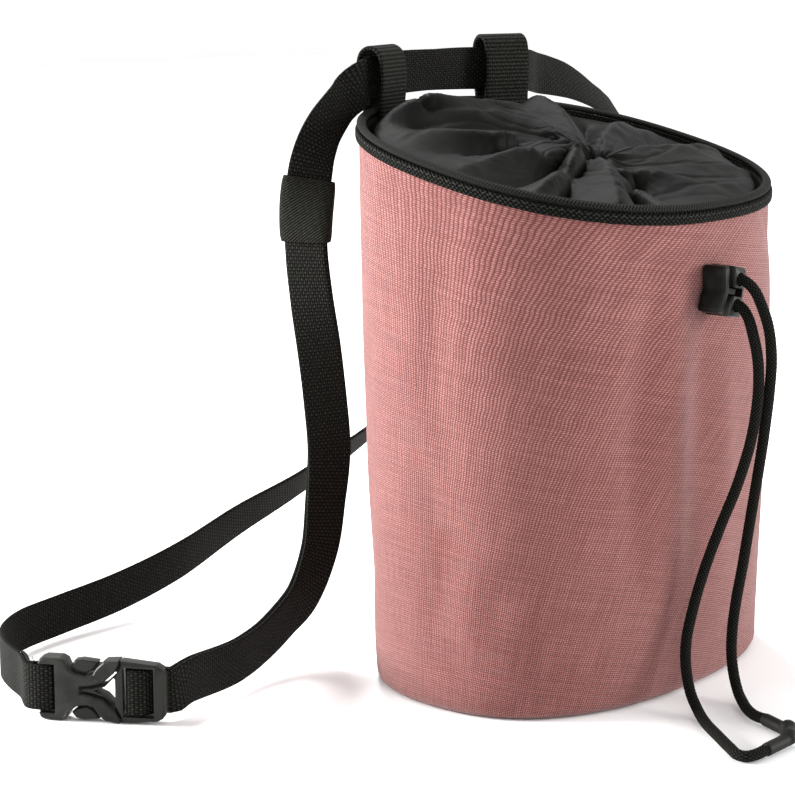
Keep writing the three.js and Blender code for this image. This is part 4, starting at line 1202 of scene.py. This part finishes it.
def addBelt():
    plugEnd, socketEnd, ladder = buckle["plugEnd"], buckle["socketEnd"], buckle["ladderBar"]
    bar = socketEnd + buckle["barWidth"]
    overLadder = [
        (plugEnd + 0.5, -besideBar - layer), (ladder + 5.5, -besideBar - layer + 0.1),
        (ladder - 1, -besideBar - layer + 0.2), (ladder - 2.9, -besideBar - 0.6), (ladder - 3.2, 0),
        (ladder - 2.4, besideBar - 0.3), (ladder - 0.4, besideBar + 0.5), (ladder + 2.2, besideBar - 0.1),
        (ladder + 3.9, 0.4), (ladder + 5.4, -1.1), (ladder + 7.4, -besideBar), (plugEnd + 0.2, -besideBar),
    ]
    roundBar = [
        (socketEnd - 0.2, besideBar), (bar - 0.2, besideBar), (bar + 2.2, besideBar - 0.6), (bar + 2.9, 0),
        (bar + 2.2, -besideBar + 0.6), (bar - 0.2, -besideBar), (socketEnd - 0.2, -besideBar),
        (socketEnd - 3, -besideBar + 0.5),
    ]
    # the tail lies behind the near strand from the buckle to the keeper, and the flap behind the far one
    keeperAt = next(i for i, spot in enumerate(route) if spot[0].z > belt["keeperPlace"] * wall["height"])
    tail = layerBehind(route[4 : keeperAt + 2][::-1], -layer)
    ladderWrap = smoothPlaces([(atBuckle(*spot), upwards) for spot in overLadder], 0.8)
    barWrap = smoothPlaces([(atBuckle(*spot), -upwards) for spot in roundBar], 0.6)
    flap = layerBehind(route[-4 - round(belt["flap"] / belt["step"]) : -3][::-1], layer)
    inner = [(middle, across) for middle, _, across, _ in route]
    places = withFaces([*tail, *ladderWrap, *inner[1:-1], *barWrap, *flap])
    piece = addRibbon("belt", places, belt["width"], belt["thickness"])
    dress(piece, "belt", ["waist_belt"])
    # the seam that holds the flap, seen on both faces
    seam = []
    flapPlaces = withFaces(flap)
    for row in (len(flapPlaces) - 3, 2):
        middle, _, across, face = flapPlaces[row]
        near = middle + face * (belt["thickness"] / 2)
        seam += stitchRow(near, across, face, *belt["flapRow"])
        seam += stitchRow(near - face * (layer + belt["thickness"]), across, -face, *belt["flapRow"])
    addStitches("flap_stitches", seam, 0.28, "thread")


def addLoop(name, node, x, rise):
    foot, along, out = loopFrame(x)
    gap, tape, thick = belt["gap"], rim["tape"], belt["thickness"]
    inside = -wall["thickness"] - gap - tape - gap - thick / 2 - rimSagitta(x)
    outside = gap + tape + gap + thick / 2
    onWall = gap + thick / 2
    top = rise - thick / 2
    bow, reach = belt["loopBow"], belt["loopReach"]
    curve = [
        (inside, -8), (inside, -1), (inside, rim["beadTop"] + 1), (inside - 0.5, 0.42 * top),
        (inside - 0.2, 0.74 * top), (inside + 1.2, 0.93 * top), ((inside + outside + bow) / 2, top),
        (outside + bow - 1.4, 0.93 * top), (outside + bow, 0.72 * top), (outside + bow - 0.8, 0.4 * top),
        (outside + 0.5, 0.16 * top), (outside, 0), (outside, -rim["drop"]),
        (onWall + 0.3, -rim["drop"] - 3.4), (onWall, -0.65 * reach), (onWall, -reach),
    ]
    points = [foot + out * away + upwards * up for away, up in curve]
    steps, _ = evenSteps(points, step=1.0)
    places = withFaces([(point, along) for _, point in steps])
    piece = addRibbon(name, places, belt["loopWidth"], thick)
    dress(piece, "loop", [node])
    # a box of stitches on the outer leg
    middle = foot + out * (onWall + thick / 2)
    seam = []
    top, centre, bottom, half = belt["loopBox"]
    for down in (top, bottom):
        seam += stitchRow(middle - upwards * down, along, out, *belt["loopRow"])
    for side in (-half, half):
        seam += stitchRow(middle - upwards * centre + along * side, upwards, out, *belt["loopSide"])
    addStitches(name + "_stitches", seam, 0.3, "thread")


def placeAtHeight(z):
    after = next(i for i, spot in enumerate(route) if spot[0].z > z)
    low, high = route[after - 1], route[after]
    share = (z - low[0].z) / (high[0].z - low[0].z)
    return tuple(one.lerp(two, share) for one, two in zip(low, high))


def addKeeper():
    room = belt["gap"] + belt["keeperSlack"]
    halfWide, halfDeep = belt["width"] / 2 + room, (belt["thickness"] + layer) / 2 + room
    roundWide, roundDeep = belt["keeperRound"]
    length, wallThick = belt["keeperLength"], belt["keeperThickness"]

    def spotOn(u, grown):
        turn = tau * u
        wide, deep = halfWide + grown, halfDeep + grown
        x = wide * math.copysign(abs(cos(turn)) ** roundWide, cos(turn))
        y = deep * math.copysign(abs(sin(turn)) ** roundDeep, sin(turn))
        return x, y

    def place(u, v):
        share = (v - 0.5) * length
        middle, _, across, face = placeAtHeight(belt["keeperPlace"] * wall["height"] + share)
        edge = 0.35 * (abs(2 * v - 1) ** 8)
        bulge = 0.18 * sin(pi * v)
        a, b = spotOn(u, wallThick - edge + bulge)
        return middle + face * (b - layer / 2) + across * a

    columns, rows = belt["keeperGrid"]
    run = runAlong([spotOn(i / columns, wallThick) for i in range(columns + 1)])

    def paint(u, v):
        return v * length, run[round(u * columns)]

    piece = clothGrid("keeper", columns, rows, place, paint, outwards=True)
    modify(piece, "SOLIDIFY", {"thickness": wallThick * 0.95 * mm, "offset": -1})
    smooth(piece, 50)
    dress(piece, "keeper", ["belt_keeper"])


addBelt()
for name, node, x, rise, _, _ in loopRows:
    addLoop(name, node, x, rise)
addKeeper()
print("webbing made")

# Moulded pieces

moulded = {
    "segments": 3,
    "pieces": [
        # name, the frame's node, how far its edges are softened, its body and its finish
        ("socket", "buckle_socket", 0.45, "bag", "plastic"),
        ("plug", "buckle_plug", 0.4, "bag", "plug"),
        ("lock_body", "cord_lock_body", 0.4, "bag", "lock"),
        ("lock_cap", "cord_lock_button", 0.5, "lock_button", "lock"),
    ],
    "tipVoxel": 0.35,
}


def nodeCopy(name, node):
    # The frame's solid as a new piece, with its loose triangles joined.
    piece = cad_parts[node].copy()
    piece.data = piece.data.copy()
    bpy.context.collection.objects.link(called(piece, name))
    closeSeams(piece)
    return piece


def addMoulded(name, node, soften, body, look):
    piece = nodeCopy(name, node)
    edit(piece)
    bpy.ops.mesh.dissolve_limited(angle_limit=radians(2))
    leaveEdit()
    settings = {
        "width": soften * mm,
        "segments": moulded["segments"],
        "limit_method": "ANGLE",
        "angle_limit": radians(25),
        "use_clamp_overlap": True,
        "miter_outer": "MITER_ARC",
    }
    modify(piece, "BEVEL", settings)
    smooth(piece, 40)
    dress(piece, look, [node], body)


def addCordEnd():
    piece = nodeCopy("cord_tip", "cord_end")
    modify(piece, "REMESH", {"mode": "VOXEL", "voxel_size": moulded["tipVoxel"] * mm})
    modify(piece, "SMOOTH", {"factor": 0.6, "iterations": 14})
    smooth(piece)
    dress(piece, "rubber", ["cord_end"])
    return piece


for row in moulded["pieces"]:
    addMoulded(*row)
cordTip = addCordEnd()
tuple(upperExit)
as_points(upperPath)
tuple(lowerExit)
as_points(lowerPath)
print("moulded pieces made")

# Floor, world and lights

studio = {
    "world": 1.0,
    "floor": -0.0002,  # its height
    "lights": [
        # name, place, aimed at, size, watts
        ("key", (-1.0, 1.35, 0.45), (0, 0, 0.1), 0.7, 84),
        ("side", (0.9, -1.25, 0.4), (0, 0, 0.1), 0.8, 24),
        ("top", (0.5, 0.75, 1.5), (0, 0, 0.17), 0.35, 22),
    ],
}


def addStudio():
    world = bpy.data.worlds.new("studio")
    bpy.context.scene.world = world
    world.use_nodes = True
    background = world.node_tree.nodes["Background"]
    background.inputs["Color"].default_value = (1, 1, 1, 1)
    background.inputs["Strength"].default_value = studio["world"]
    bpy.context.scene.view_settings.view_transform = "Standard"
    for name, place, target, size, watts in studio["lights"]:
        bpy.ops.object.light_add(type="AREA", location=place)
        light = bpy.context.object
        light.name = name
        light.data.shape = "DISK"
        light.data.size = size
        light.data.energy = watts
        light.rotation_euler = (Vector(target) - Vector(place)).to_track_quat("-Z", "Y").to_euler()
    deselect()
    bpy.ops.mesh.primitive_plane_add(size=6, location=(0, 0, 0))
    floor = bpy.context.object
    floor.name = "floor"
    floor.data.transform(Matrix.Translation((0, 0, studio["floor"])))
    floor.data.materials.append(looks["floor"])


addStudio()
print("studio made")
